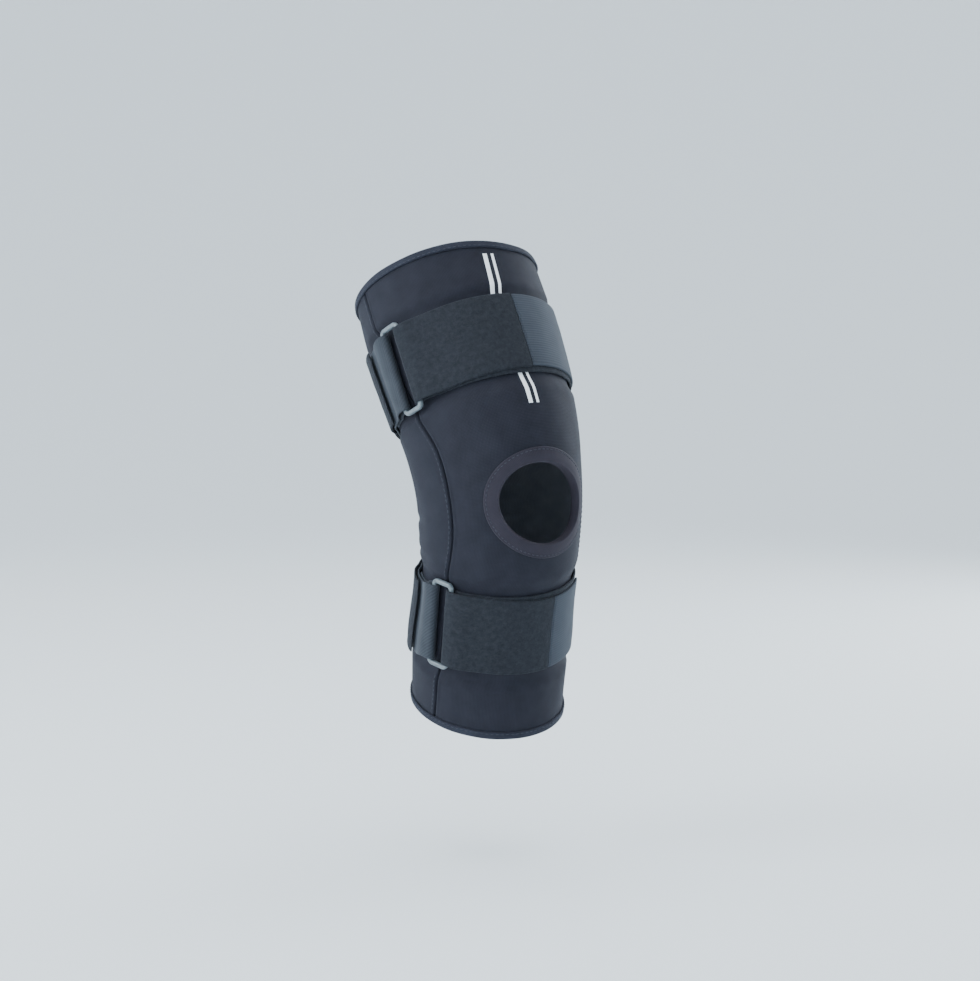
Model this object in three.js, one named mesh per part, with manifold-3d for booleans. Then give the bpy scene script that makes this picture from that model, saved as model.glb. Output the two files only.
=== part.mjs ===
// Knee support worn on a bent right knee: a cushioned sleeve with an open kneecap, bound hems and
// two fastenings, each a strap that doubles back through a loop and holds by a hook tab.
// Millimetres and degrees, +Z up. The kneecap faces -Y and the outer side of the leg faces -X.
// Angles run round the leg: 0 at the front, negative to the outer side, 180 at the back.
// Heights run along the leg from the knee: positive up the thigh, negative down the shin.
import * as THREE from "three";
import Module from "manifold-3d";

// The leg's form, taken over the outer face of the sleeve.
const THIGH_LENGTH = 150.5;
const SHIN_LENGTH = 155.5;
const KNEE_SIDE = 54;
const KNEE_FRONT = 58;
const KNEE_BACK = 53;
const THIGH_PITCH = 27;
const SHIN_PITCH = 18;
const THIGH_SPLAY = 2;
const SHIN_SPLAY = 5.5;
const BEND_REACH = 60;

// The sleeve.
const WALL = 3;
const GAP = 0.3;
const HEM_HEIGHT = 5.5;
const HEM_THICK = 1;
const RIM_DIP = 2.8;
const CREASE_HEIGHT = 6;

// The kneecap opening is an oval, its long axis lying down towards the inner side.
const OPENING_LENGTH = 65;
const OPENING_HEIGHT = 51;
const OPENING_TILT = -25;
const OPENING_ANGLE = 0.8;
const OPENING_DROP = 8.5;
const OPENING_BAND = 9.5;
const OPENING_LINING = 6;
const BAND_THICK = 1.1;

// The fastenings.
const STRAP_WIDTH = 52;
const STRAP_THICK = 1.6;
const STRAP_PRESS = 2.4;
const PRESS_SHOULDER = 9;
const HOLDER_THICK = 1.4;
const HOLDER_REACH = 60;
const HOLDER_RETURN = 38;
const LOOP_WIDTH = 17.2;
const LOOP_BAR = 3.2;
const LOOP_CORNER = 2.6;
const BAR_CLEARANCE = 0.25;
const SLOT_CLEARANCE = 1.1;
const INNER_SIDE_LIFT = 1;
const FREE_END_LIFT = 1.2;
const TAB_CHAMFER = 9;
const TAB_INSET = 0.5;

// The lengths over which the straps climb on to other layers, settle and blend into the leg's form.
const BLEND_REACH = 14;
const STRAP_SETTLE = 26;
const HOLDER_SETTLE = 20;
const HOLDER_DIP = 14;
const HOLDER_STEP = 12;
const RETURN_STEP = 9;
const STEP_MARGIN = 4;
const TIP_REACH = 22;
const FALL_REACH = 30;
const FALL_RETURN = 60;

// Facet counts.
const FRONT_COLUMNS = 16;
const BACK_COLUMNS = 24;
const HEM_STATIONS = 42;
const OPENING_STATIONS = 36;
const STRAP_STEP = 8;
const FRONT_STEP = 8;
const BACK_STEP = 5.4;
const STRAP_CELLS = 3;
const TURN_STEPS = 6;

// How the leg swells: a height as a share of its length, and the reach from the leg's axis to each
// face as a share of the same reach at the knee.
const SECTIONS = [
  { along: -1.0, side: 0.925, front: 0.915, back: 1.0 },
  { along: -0.7, side: 0.965, front: 0.83, back: 1.095 },
  { along: -0.45, side: 0.935, front: 0.83, back: 1.065 },
  { along: -0.19, side: 0.97, front: 0.9, back: 1.035 },
  { along: 0.0, side: 0.99, front: 1.0, back: 1.0 },
  { along: 0.2, side: 1.045, front: 1.065, back: 1.01 },
  { along: 0.47, side: 1.12, front: 1.07, back: 1.09 },
  { along: 0.73, side: 1.16, front: 1.05, back: 1.155 },
  { along: 1.0, side: 1.135, front: 1.015, back: 1.185 },
];

// The two seams that join the front panel to the back panel, by the angle at which each one lies.
const SEAMS = [
  { along: -1.0, outer: -75, inner: 68 },
  { along: -0.76, outer: -72, inner: 66 },
  { along: -0.34, outer: -71, inner: 59 },
  { along: -0.16, outer: -66.5, inner: 56 },
  { along: 0.0, outer: -68, inner: 58 },
  { along: 0.17, outer: -71, inner: 64 },
  { along: 0.33, outer: -79, inner: 73 },
  { along: 0.73, outer: -89, inner: 84 },
  { along: 1.0, outer: -94, inner: 88 },
];

// The soft creases behind the knee: where each one lies, how far it runs either way and how deep it
// is as a share of the wall.
const CREASES = [
  { along: -0.29, angle: 205, spread: 85, depth: 0.5 },
  { along: -0.2, angle: 180, spread: 75, depth: 0.57 },
  { along: -0.11, angle: 200, spread: 80, depth: 0.53 },
  { along: -0.01, angle: 175, spread: 60, depth: 0.4 },
];

// One row for each fastening: its height as a share of the leg's length there, the angles at which
// its loop, its free end and its hook tab lie, and, as shares of its width, how far its upper layer
// leans up the leg and how far its layers behind the loop lie up it.
const FASTENING_ROWS = [
  {
    name: "upper", along: 0.538, loopAngle: -76.8, loopTilt: -2.4,
    freeEnd: 25.5, tabSeam: 3.5, tabEnd: 84, lean: 0.042, fall: 0,
  },
  {
    name: "lower", along: -0.527, loopAngle: -72.2, loopTilt: 2.2,
    freeEnd: 29.5, tabSeam: 16.5, tabEnd: 68, lean: -0.046, fall: -0.13,
  },
];
const FASTENINGS = FASTENING_ROWS.map((row) => ({
  ...row,
  height: row.along * (row.along < 0 ? SHIN_LENGTH : THIGH_LENGTH),
  lean: row.lean * STRAP_WIDTH,
  fall: row.fall * STRAP_WIDTH,
}));

const COLOURS = {
  sleeve: 0x3a404c, hem: 0x454c59, band: 0x343944, strap: 0x384249,
  tab: 0x56646e, holder: 0x46525d, loop: 0x8f9fa8,
};

const wasm = await Module();
wasm.setup();

const radians = THREE.MathUtils.degToRad;
const ease = (x) => THREE.MathUtils.smoothstep(x, 0, 1);
const hump = (x) => (Math.abs(x) < 1 ? (1 - x * x) ** 2 : 0);

// A smooth curve through one column of a table.
function readTable(table, column, at) {
  const last = table.length - 1;
  const x = THREE.MathUtils.clamp(at, table[0].along, table[last].along);
  let low = 0;
  while (low < last - 1 && x > table[low + 1].along) low += 1;
  const slope = (i) => {
    const a = table[Math.max(i - 1, 0)];
    const b = table[Math.min(i + 1, last)];
    return (b[column] - a[column]) / (b.along - a.along);
  };
  const step = table[low + 1].along - table[low].along;
  const u = (x - table[low].along) / step;
  const start = table[low][column] * (2 * u ** 3 - 3 * u ** 2 + 1);
  const end = table[low + 1][column] * (3 * u ** 2 - 2 * u ** 3);
  const leave = slope(low) * step * (u ** 3 - 2 * u ** 2 + u);
  const arrive = slope(low + 1) * step * (u ** 3 - u ** 2);
  return start + end + leave + arrive;
}

const share = (height) => height / (height < 0 ? SHIN_LENGTH : THIGH_LENGTH);

// The two straight lines of the leg and the bend between them.
function legDirection(splay, pitch, up) {
  const side = -up * Math.sin(radians(splay));
  return new THREE.Vector3(side, Math.sin(radians(pitch)), up * Math.cos(radians(pitch))).normalize();
}
const THIGH_LINE = legDirection(THIGH_SPLAY, THIGH_PITCH, 1);
const SHIN_LINE = legDirection(SHIN_SPLAY, SHIN_PITCH, -1);
const SEAT = THIGH_LINE.clone().add(SHIN_LINE).multiplyScalar(BEND_REACH / 4);

// The leg's axis at one height: a point and the three directions there.
function axisAt(height) {
  const point = new THREE.Vector3();
  const up = new THREE.Vector3();
  if (height <= -BEND_REACH) {
    point.copy(SHIN_LINE).multiplyScalar(-height);
    up.copy(SHIN_LINE).negate();
  } else if (height >= BEND_REACH) {
    point.copy(THIGH_LINE).multiplyScalar(height);
    up.copy(THIGH_LINE);
  } else {
    const w = (height + BEND_REACH) / (2 * BEND_REACH);
    point.addScaledVector(SHIN_LINE, BEND_REACH * (1 - w) ** 2);
    point.addScaledVector(THIGH_LINE, BEND_REACH * w ** 2);
    up.addScaledVector(SHIN_LINE, w - 1).addScaledVector(THIGH_LINE, w).normalize();
  }
  const across = new THREE.Vector3(1, 0, 0).addScaledVector(up, -up.x).normalize();
  const rear = new THREE.Vector3().crossVectors(up, across);
  return { point: point.sub(SEAT), across, rear };
}

// A point beside the leg: the angle round it, the height along it and the reach off its face.
function legPoint(angle, height, reach) {
  const { point, across, rear } = axisAt(height);
  const at = share(height);
  const side = KNEE_SIDE * readTable(SECTIONS, "side", at);
  const front = KNEE_FRONT * readTable(SECTIONS, "front", at);
  const back = KNEE_BACK * readTable(SECTIONS, "back", at);
  const sin = Math.sin(radians(angle));
  const cos = Math.cos(radians(angle));
  const depth = cos > 0 ? front : back;
  const lean = Math.hypot(sin * depth, cos * side);
  const x = side * sin + (reach * sin * depth) / lean;
  const y = -depth * cos - (reach * cos * side) / lean;
  return point.addScaledVector(across, x).addScaledVector(rear, y);
}

// How far the straps press the sleeve in, and how far a crease does.
const pressedFrom = (f) => f.height - STRAP_WIDTH / 2 + Math.min(0, f.lean, f.fall);
const pressedTo = (f) => f.height + STRAP_WIDTH / 2 + Math.max(0, f.lean, f.fall);
function pressAt(height) {
  let press = 0;
  for (const fastening of FASTENINGS) {
    const past = Math.max(pressedFrom(fastening) - height, height - pressedTo(fastening));
    press += STRAP_PRESS * (1 - ease(past / PRESS_SHOULDER));
  }
  return press;
}
function creaseAt(angle, height) {
  let crease = 0;
  for (const row of CREASES) {
    const turn = THREE.MathUtils.euclideanModulo(angle - row.angle + 180, 360) - 180;
    const rise = height - row.along * SHIN_LENGTH;
    crease += row.depth * WALL * hump(turn / row.spread) * hump(rise / CREASE_HEIGHT);
  }
  return crease;
}
const sleevePoint = (angle, height, reach) =>
  legPoint(angle, height, reach - pressAt(height) - creaseAt(angle, height));

// Closed solids. The winding is turned round where the faces came out facing in.
function closedGeometry(points, faces) {
  let volume = 0;
  for (let i = 0; i < faces.length; i += 3) {
    const [a, b, c] = [points[faces[i]], points[faces[i + 1]], points[faces[i + 2]]];
    volume += a.dot(new THREE.Vector3().crossVectors(b, c));
  }
  const order = volume < 0 ? [...faces].reverse() : faces;
  const geometry = new THREE.BufferGeometry().setFromPoints(points);
  geometry.setIndex(order);
  geometry.computeVertexNormals();
  return geometry;
}

// A sheet with thickness: place(i, j, side) gives the point of a column and row on either face.
function sheetSolid(columns, rows, place) {
  const points = [];
  const faces = [];
  const index = (i, j, side) => (side * (columns + 1) + i) * (rows + 1) + j;
  const quad = (a, b, c, d) => faces.push(a, b, c, a, c, d);
  for (let side = 0; side < 2; side += 1) {
    for (let i = 0; i <= columns; i += 1) {
      for (let j = 0; j <= rows; j += 1) points.push(place(i, j, side));
    }
  }
  for (let i = 0; i < columns; i += 1) {
    for (let j = 0; j < rows; j += 1) {
      quad(index(i, j, 1), index(i + 1, j, 1), index(i + 1, j + 1, 1), index(i, j + 1, 1));
      quad(index(i, j, 0), index(i, j + 1, 0), index(i + 1, j + 1, 0), index(i + 1, j, 0));
    }
    quad(index(i, 0, 0), index(i + 1, 0, 0), index(i + 1, 0, 1), index(i, 0, 1));
    quad(index(i, rows, 1), index(i + 1, rows, 1), index(i + 1, rows, 0), index(i, rows, 0));
  }
  for (let j = 0; j < rows; j += 1) {
    quad(index(0, j, 1), index(0, j + 1, 1), index(0, j + 1, 0), index(0, j, 0));
    quad(index(columns, j, 0), index(columns, j + 1, 0), index(columns, j + 1, 1), index(columns, j, 1));
  }
  return closedGeometry(points, faces);
}

// A section carried round a closed loop: place(i, k) gives corner k of the section at station i.
function loopSolid(stations, corners, place) {
  const points = [];
  const faces = [];
  for (let i = 0; i < stations; i += 1) {
    for (let k = 0; k < corners; k += 1) points.push(place(i, k));
  }
  for (let i = 0; i < stations; i += 1) {
    const next = (i + 1) % stations;
    for (let k = 0; k < corners; k += 1) {
      const beside = (k + 1) % corners;
      const [a, b] = [i * corners + k, next * corners + k];
      const [c, d] = [next * corners + beside, i * corners + beside];
      faces.push(a, b, c, a, c, d);
    }
  }
  return closedGeometry(points, faces);
}

// The panels' edges: each seam, and each rim under its hem.
const rimDip = (angle) => RIM_DIP * hump((angle - 32) / 62);
const topEdge = (angle) => THIGH_LENGTH - rimDip(angle) - HEM_THICK - GAP;
const bottomEdge = -SHIN_LENGTH + HEM_THICK + GAP;
const seamShift = THREE.MathUtils.radToDeg(GAP / 2 / KNEE_SIDE);

// The heights of a panel's rows, closer together where the sleeve is pressed in or creased.
function panelRows(kneeStep) {
  const marks = [bottomEdge];
  for (const fastening of [...FASTENINGS].sort((a, b) => a.height - b.height)) {
    const [from, to] = [pressedFrom(fastening), pressedTo(fastening)];
    marks.push(from - PRESS_SHOULDER, from, to, to + PRESS_SHOULDER);
  }
  marks.push(THIGH_LENGTH - HEM_THICK - GAP);
  const rows = [marks[0]];
  for (let i = 1; i < marks.length; i += 1) {
    const length = marks[i] - marks[i - 1];
    const knee = marks[i - 1] < 0 && marks[i] > 0;
    const target = knee ? kneeStep : Math.max(length / 3, PRESS_SHOULDER / 2);
    const count = Math.max(1, Math.round(length / target));
    for (let k = 1; k <= count; k += 1) rows.push(marks[i - 1] + (length * k) / count);
  }
  return rows;
}

// A panel between two seams, each given by its column and the side that the panel lies on.
function panelSolid(columns, kneeStep, from, to) {
  const rows = panelRows(kneeStep);
  const free = Math.max(...FASTENINGS.map(pressedTo)) + PRESS_SHOULDER;
  const top = rows[rows.length - 1];
  return sheetSolid(columns, rows.length - 1, (i, j, side) => {
    const at = share(rows[j]);
    const start = readTable(SEAMS, from, at) + seamShift;
    const turn = from === "outer" ? 0 : 360;
    const end = readTable(SEAMS, to, at) + turn - seamShift;
    const angle = start + ((end - start) * i) / columns;
    const around = THREE.MathUtils.euclideanModulo(angle + 180, 360) - 180;
    const pulled = Math.max(0, (rows[j] - free) / (top - free)) * (top - topEdge(around));
    return sleevePoint(around, rows[j] - pulled, side ? 0 : -WALL);
  });
}

// A hem bound over a rim: down the outer face, over the edge and down the inner face.
function hemSolid(edge, up) {
  const outer = GAP + HEM_THICK;
  const inner = -WALL - GAP - HEM_THICK;
  const drop = HEM_HEIGHT;
  const soft = HEM_THICK * 0.6;
  const section = [
    { fall: drop, reach: GAP }, { fall: drop, reach: outer },
    { fall: soft, reach: outer }, { fall: 0, reach: outer - soft },
    { fall: 0, reach: inner }, { fall: drop, reach: inner }, { fall: drop, reach: -WALL - GAP },
    { fall: HEM_THICK, reach: -WALL - GAP }, { fall: HEM_THICK, reach: GAP },
  ];
  return loopSolid(HEM_STATIONS, section.length, (i, k) => {
    const angle = (360 * i) / HEM_STATIONS - 180;
    return sleevePoint(angle, edge(angle) - up * section[k].fall, section[k].reach);
  });
}

// The kneecap opening: a point round its oval, spread outwards by a margin.
function openingPoint(turn, margin, reach) {
  const long = (OPENING_LENGTH / 2 + margin) * Math.cos(turn);
  const high = (OPENING_HEIGHT / 2 + margin) * Math.sin(turn);
  const tilt = radians(OPENING_TILT);
  const across = long * Math.cos(tilt) - high * Math.sin(tilt);
  const rise = long * Math.sin(tilt) + high * Math.cos(tilt);
  const centre = legPoint(OPENING_ANGLE, -OPENING_DROP, 0);
  const perDegree = legPoint(OPENING_ANGLE + 1, -OPENING_DROP, 0).distanceTo(centre);
  const perHeight = legPoint(OPENING_ANGLE, 1 - OPENING_DROP, 0).distanceTo(centre);
  return sleevePoint(OPENING_ANGLE + across / perDegree, rise / perHeight - OPENING_DROP, reach);
}

// The solid that is cut out of the front panel.
function openingPlug() {
  const margin = BAND_THICK + GAP;
  const past = 3 * WALL;
  const points = [];
  const faces = [];
  const n = OPENING_STATIONS;
  for (const reach of [-WALL - past, past]) {
    for (let i = 0; i < n; i += 1) points.push(openingPoint((2 * Math.PI * i) / n, margin, reach));
  }
  for (const reach of [-WALL - past, past]) {
    const oval = Array.from({ length: n }, (_, i) => openingPoint((2 * Math.PI * i) / n, margin, reach));
    const middle = oval.reduce((sum, p) => sum.add(p), new THREE.Vector3()).divideScalar(n);
    points.push(middle.lerp(openingPoint(0, -OPENING_LENGTH / 2, reach), 0.9));
  }
  for (let i = 0; i < n; i += 1) {
    const next = (i + 1) % n;
    faces.push(i, next, n + next, i, n + next, n + i);
    faces.push(next, i, 2 * n, n + i, n + next, 2 * n + 1);
  }
  return closedGeometry(points, faces);
}

function cut(body, tool) {
  const solid = (geometry) => new wasm.Manifold(new wasm.Mesh({
    numProp: 3,
    vertProperties: new Float32Array(geometry.attributes.position.array),
    triVerts: new Uint32Array(geometry.index.array),
  }));
  const mesh = solid(body).subtract(solid(tool)).getMesh();
  const geometry = new THREE.BufferGeometry();
  geometry.setAttribute("position", new THREE.BufferAttribute(mesh.vertProperties, 3));
  geometry.setIndex(new THREE.BufferAttribute(mesh.triVerts, 1));
  geometry.computeVertexNormals();
  return geometry;
}

// The band bound round the opening: a flange on each face and a neck through the wall.
function openingBand() {
  const section = [
    { margin: OPENING_BAND, reach: GAP }, { margin: OPENING_BAND - BAND_THICK, reach: GAP + BAND_THICK },
    { margin: BAND_THICK * 0.5, reach: GAP + BAND_THICK }, { margin: 0, reach: GAP },
    { margin: 0, reach: -WALL - GAP - BAND_THICK },
    { margin: OPENING_LINING, reach: -WALL - GAP - BAND_THICK },
    { margin: OPENING_LINING, reach: -WALL - GAP },
    { margin: BAND_THICK, reach: -WALL - GAP }, { margin: BAND_THICK, reach: GAP },
  ];
  return loopSolid(OPENING_STATIONS, section.length, (i, k) => {
    const turn = (2 * Math.PI * i) / OPENING_STATIONS;
    return openingPoint(turn, section[k].margin, section[k].reach);
  });
}

// Levels over the pressed sleeve at which the layers of a fastening lie, by their middle.
const BAR_LEVEL = GAP + STRAP_THICK + BAR_CLEARANCE + LOOP_BAR / 2;
const UNDER_LEVEL = GAP + STRAP_THICK / 2;
const OVER_LEVEL = UNDER_LEVEL + STRAP_THICK + GAP;
const HOLDER_LEVEL = GAP + HOLDER_THICK / 2;
const HOLDER_OVER = HOLDER_LEVEL + HOLDER_THICK + GAP;
const BAR_OUT = (LOOP_WIDTH - LOOP_BAR) / 2;
const FLAT_REACH = LOOP_WIDTH / 2 + GAP;

const seatPoint = (angle, height, reach) => legPoint(angle, height, reach - STRAP_PRESS);

// The flat frame of a fastening's loop and how far a degree reaches round the leg there.
function loopFrame(fastening) {
  const { height, loopAngle, loopTilt } = fastening;
  const middle = seatPoint(loopAngle, height, BAR_LEVEL);
  const half = STRAP_WIDTH / 2;
  const ahead = seatPoint(loopAngle + 1, height, BAR_LEVEL).sub(middle);
  const along = seatPoint(loopAngle, height + half, BAR_LEVEL);
  along.sub(seatPoint(loopAngle, height - half, BAR_LEVEL)).normalize();
  const out = new THREE.Vector3().crossVectors(ahead, along).normalize();
  along.applyAxisAngle(out, radians(loopTilt));
  const round = new THREE.Vector3().crossVectors(along, out);
  return { middle, round, along, out, perDegree: ahead.length() };
}

// A point of a strap: the way round from the loop, the way across and the level. Beside the loop
// the straps lie flat with its bars, and further off they follow the leg.
function strapPoint(fastening, frame, way, over, level, drift) {
  const angle = fastening.loopAngle + way / frame.perDegree;
  const bent = seatPoint(angle, fastening.height + over + drift, level);
  const blend = ease((Math.abs(way) - FLAT_REACH) / BLEND_REACH);
  const flat = frame.middle.clone().addScaledVector(frame.round, way);
  flat.addScaledVector(frame.along, over).addScaledVector(frame.out, level - BAR_LEVEL);
  return flat.lerp(bent, blend);
}

// Stations along a straight run of a strap, from one way round to another.
function run(from, to, levelAt, driftAt) {
  const count = Math.max(2, Math.ceil(Math.abs(to - from) / STRAP_STEP));
  return Array.from({ length: count + 1 }, (_, i) => {
    const way = from + ((to - from) * i) / count;
    return { way, level: levelAt(way), drift: driftAt(way) };
  });
}

// Stations round a bar of the loop, on the side of its slot, from under the bar to over it.
function turnRound(bar, radius) {
  const slot = bar > 0 ? -1 : 1;
  return Array.from({ length: TURN_STEPS - 1 }, (_, i) => {
    const swing = radians(-90 + (180 * (i + 1)) / TURN_STEPS);
    const way = bar + slot * radius * Math.cos(swing);
    return { way, level: BAR_LEVEL + radius * Math.sin(swing), drift: 0 };
  });
}

// A strap laid along stations, its thickness square to its own way.
function strapSolid(fastening, frame, stations, thickness, cells, halfWidth) {
  return sheetSolid(stations.length - 1, cells, (i, j, side) => {
    const before = stations[Math.max(i - 1, 0)];
    const after = stations[Math.min(i + 1, stations.length - 1)];
    const ahead = new THREE.Vector2(after.way - before.way, after.level - before.level).normalize();
    const offset = (side ? 0.5 : -0.5) * thickness;
    const { way, level, drift } = stations[i];
    const over = halfWidth(way) * ((2 * j) / cells - 1);
    const [w, l] = [way - offset * ahead.y, level + offset * ahead.x];
    return strapPoint(fastening, frame, w, over, l, drift);
  });
}

const lean = (fastening, frame) => (way) =>
  fastening.lean * ease(way / (frame.perDegree * (fastening.tabSeam - fastening.loopAngle)));
const innerLift = (fastening, frame) => (way) =>
  INNER_SIDE_LIFT * hump((fastening.loopAngle + way / frame.perDegree - 78) / 42);

// How far the layers behind the loop have moved up the leg, at a distance behind it.
function rearDrift(fastening, back) {
  const past = ease((back - HOLDER_REACH - STEP_MARGIN) / FALL_RETURN);
  return fastening.fall * ease(back / FALL_REACH) * (1 - past);
}

// The long strap: from its free end on the outer side, round the back and the inner side, across
// the front, round the loop's front bar and back over itself to the hook tab.
function longStrap(fastening, frame) {
  const round = 360 * frame.perDegree;
  const free = round - fastening.freeEnd * frame.perDegree;
  const tab = (fastening.tabSeam - fastening.loopAngle) * frame.perDegree - GAP / 2;
  const radius = LOOP_BAR / 2 + BAR_CLEARANCE + STRAP_THICK / 2;
  const lift = innerLift(fastening, frame);
  const single = HOLDER_THICK + GAP;
  const under = (way) => {
    const back = round - way;
    const onHolder = 1 - ease((back - HOLDER_REACH - STEP_MARGIN) / HOLDER_STEP);
    const onReturn = 1 - ease((back - HOLDER_RETURN - STEP_MARGIN) / RETURN_STEP);
    const tip = 1 - ease((back - fastening.freeEnd * frame.perDegree) / TIP_REACH);
    return UNDER_LEVEL + lift(way) + single * (onHolder + onReturn) + FREE_END_LIFT * tip;
  };
  const over = (way) => {
    const rise = BAR_LEVEL + radius - OVER_LEVEL;
    return OVER_LEVEL + lift(way) + rise * (1 - ease((way - BAR_OUT) / STRAP_SETTLE));
  };
  const stations = [
    ...run(free, BAR_OUT, under, (way) => rearDrift(fastening, round - way)),
    ...turnRound(BAR_OUT, radius),
    ...run(BAR_OUT, tab, over, lean(fastening, frame)),
  ];
  return strapSolid(fastening, frame, stations, STRAP_THICK, STRAP_CELLS, () => STRAP_WIDTH / 2);
}

// The hook tab, butted to the end of the strap and held on the layer under it.
function hookTab(fastening, frame) {
  const start = (fastening.tabSeam - fastening.loopAngle) * frame.perDegree + GAP / 2;
  const end = (fastening.tabEnd - fastening.loopAngle) * frame.perDegree;
  const lift = innerLift(fastening, frame);
  const body = run(start, end - TAB_CHAMFER, (way) => OVER_LEVEL + lift(way), lean(fastening, frame));
  const tip = run(end - TAB_CHAMFER, end, (way) => OVER_LEVEL + lift(way), lean(fastening, frame));
  const half = (way) => STRAP_WIDTH / 2 - TAB_INSET - Math.max(0, way - end + TAB_CHAMFER);
  return strapSolid(fastening, frame, [...body, ...tip.slice(1)], STRAP_THICK, STRAP_CELLS, half);
}

// The holder: webbing folded round the loop's rear bar, both ends run back and sewn to the sleeve.
function loopHolder(fastening, frame) {
  const radius = LOOP_BAR / 2 + BAR_CLEARANCE + HOLDER_THICK / 2;
  const under = (way) => {
    const rise = BAR_LEVEL - radius - HOLDER_LEVEL;
    return HOLDER_LEVEL + rise * (1 - ease((-way - BAR_OUT) / HOLDER_DIP));
  };
  const over = (way) => {
    const rise = BAR_LEVEL + radius - HOLDER_OVER;
    const fold = 1 - ease((-way - BAR_OUT) / HOLDER_SETTLE);
    const single = ease((-way - HOLDER_RETURN - GAP) / RETURN_STEP);
    return HOLDER_OVER + rise * fold - (HOLDER_THICK + GAP) * single;
  };
  const drift = (way) => rearDrift(fastening, -way);
  const stations = [
    ...run(-HOLDER_RETURN, -BAR_OUT, under, drift),
    ...turnRound(-BAR_OUT, radius),
    ...run(-BAR_OUT, -HOLDER_REACH, over, drift),
  ];
  return strapSolid(fastening, frame, stations, HOLDER_THICK, STRAP_CELLS, () => STRAP_WIDTH / 2);
}

// The loop: a round bar bent to a rounded rectangle, lying flat in its own frame.
function loopRing() {
  const halfWide = LOOP_WIDTH / 2 - LOOP_BAR / 2;
  const halfLong = STRAP_WIDTH / 2 + SLOT_CLEARANCE + LOOP_BAR / 2;
  const bends = 3;
  const spine = [];
  for (const [x, y, from] of [[1, 1, 0], [-1, 1, 90], [-1, -1, 180], [1, -1, 270]]) {
    for (let i = 0; i <= bends; i += 1) {
      const turn = radians(from + (90 * i) / bends);
      const centre = [x * (halfWide - LOOP_CORNER), y * (halfLong - LOOP_CORNER)];
      const [c, s] = [Math.cos(turn), Math.sin(turn)];
      spine.push({ x: centre[0] + LOOP_CORNER * c, y: centre[1] + LOOP_CORNER * s, c, s });
    }
  }
  const corners = 8;
  return loopSolid(spine.length, corners, (i, k) => {
    const turn = (2 * Math.PI * (k + 0.5)) / corners;
    const out = (LOOP_BAR / 2) * Math.cos(turn);
    const { x, y, c, s } = spine[i];
    return new THREE.Vector3(x + out * c, y + out * s, (LOOP_BAR / 2) * Math.sin(turn));
  });
}

function piece(name, geometry, colour, roughness = 0.85) {
  const mesh = new THREE.Mesh(geometry, new THREE.MeshStandardMaterial({ color: colour, roughness }));
  mesh.name = name;
  return mesh;
}

function assembly(name, pieces) {
  const group = new THREE.Group();
  group.name = name;
  group.add(...pieces);
  return group;
}

function sleeve() {
  const front = cut(panelSolid(FRONT_COLUMNS, FRONT_STEP, "outer", "inner"), openingPlug());
  return assembly("sleeve", [
    piece("front_panel", front, COLOURS.sleeve),
    piece("back_panel", panelSolid(BACK_COLUMNS, BACK_STEP, "inner", "outer"), COLOURS.sleeve),
    piece("top_hem", hemSolid((angle) => THIGH_LENGTH - rimDip(angle), 1), COLOURS.hem),
    piece("bottom_hem", hemSolid(() => -SHIN_LENGTH, -1), COLOURS.hem),
    piece("kneecap_band", openingBand(), COLOURS.band),
  ]);
}

function fasteningParts(fastening) {
  const frame = loopFrame(fastening);
  const { name } = fastening;
  const loop = piece(`${name}_loop`, loopRing(), COLOURS.loop, 0.45);
  loop.position.copy(frame.middle);
  const basis = new THREE.Matrix4().makeBasis(frame.round, frame.along, frame.out);
  loop.quaternion.setFromRotationMatrix(basis);
  return assembly(`${name}_fastening`, [
    loop,
    piece(`${name}_loop_holder`, loopHolder(fastening, frame), COLOURS.holder),
    piece(`${name}_strap`, longStrap(fastening, frame), COLOURS.strap),
    piece(`${name}_hook_tab`, hookTab(fastening, frame), COLOURS.tab),
  ]);
}

const group = assembly("knee_support", [sleeve(), ...FASTENINGS.map(fasteningParts)]);

export default group;
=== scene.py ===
"""Knee support, dressed for its picture.

The support is built as it is worn on a bent right knee: a cushioned sleeve of two panels with bound
hems and an open kneecap, and two fastenings, each a strap that doubles back through a loop and holds
by a hook tab. Sizes are in millimetres and degrees, and meshes are made in metres in the frame's axes.
"""

import logging
import math
from collections.abc import Callable, Sequence
from dataclasses import dataclass, field
from enum import Enum

import bpy
import numpy as np
from mathutils import Matrix, Vector

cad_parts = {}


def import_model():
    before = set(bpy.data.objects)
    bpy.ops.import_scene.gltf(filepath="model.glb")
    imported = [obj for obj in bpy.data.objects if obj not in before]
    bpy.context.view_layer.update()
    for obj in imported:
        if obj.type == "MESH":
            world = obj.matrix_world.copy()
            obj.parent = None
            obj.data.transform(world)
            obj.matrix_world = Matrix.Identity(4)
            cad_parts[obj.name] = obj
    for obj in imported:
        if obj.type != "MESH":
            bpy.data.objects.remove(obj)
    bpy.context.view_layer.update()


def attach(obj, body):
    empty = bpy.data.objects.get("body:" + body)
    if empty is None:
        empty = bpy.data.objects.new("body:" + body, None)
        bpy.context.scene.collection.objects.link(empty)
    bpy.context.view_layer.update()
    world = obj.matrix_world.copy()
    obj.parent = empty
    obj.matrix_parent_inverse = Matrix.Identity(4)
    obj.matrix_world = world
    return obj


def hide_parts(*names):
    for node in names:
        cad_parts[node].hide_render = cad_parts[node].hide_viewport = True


LOG = logging.getLogger("knee_support")
MM = 0.001
BODY = "root"
STRAP_WIDTH = 52.0

# The wave texture's scale for bands that follow one another at each millimetre.
BAND_SCALE = 0.314159


def ease(x: np.ndarray | float) -> np.ndarray:
    """Returns a smooth step from 0 to 1 over 0 to 1."""
    x = np.clip(x, 0.0, 1.0)
    return x * x * (3.0 - 2.0 * x)


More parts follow.
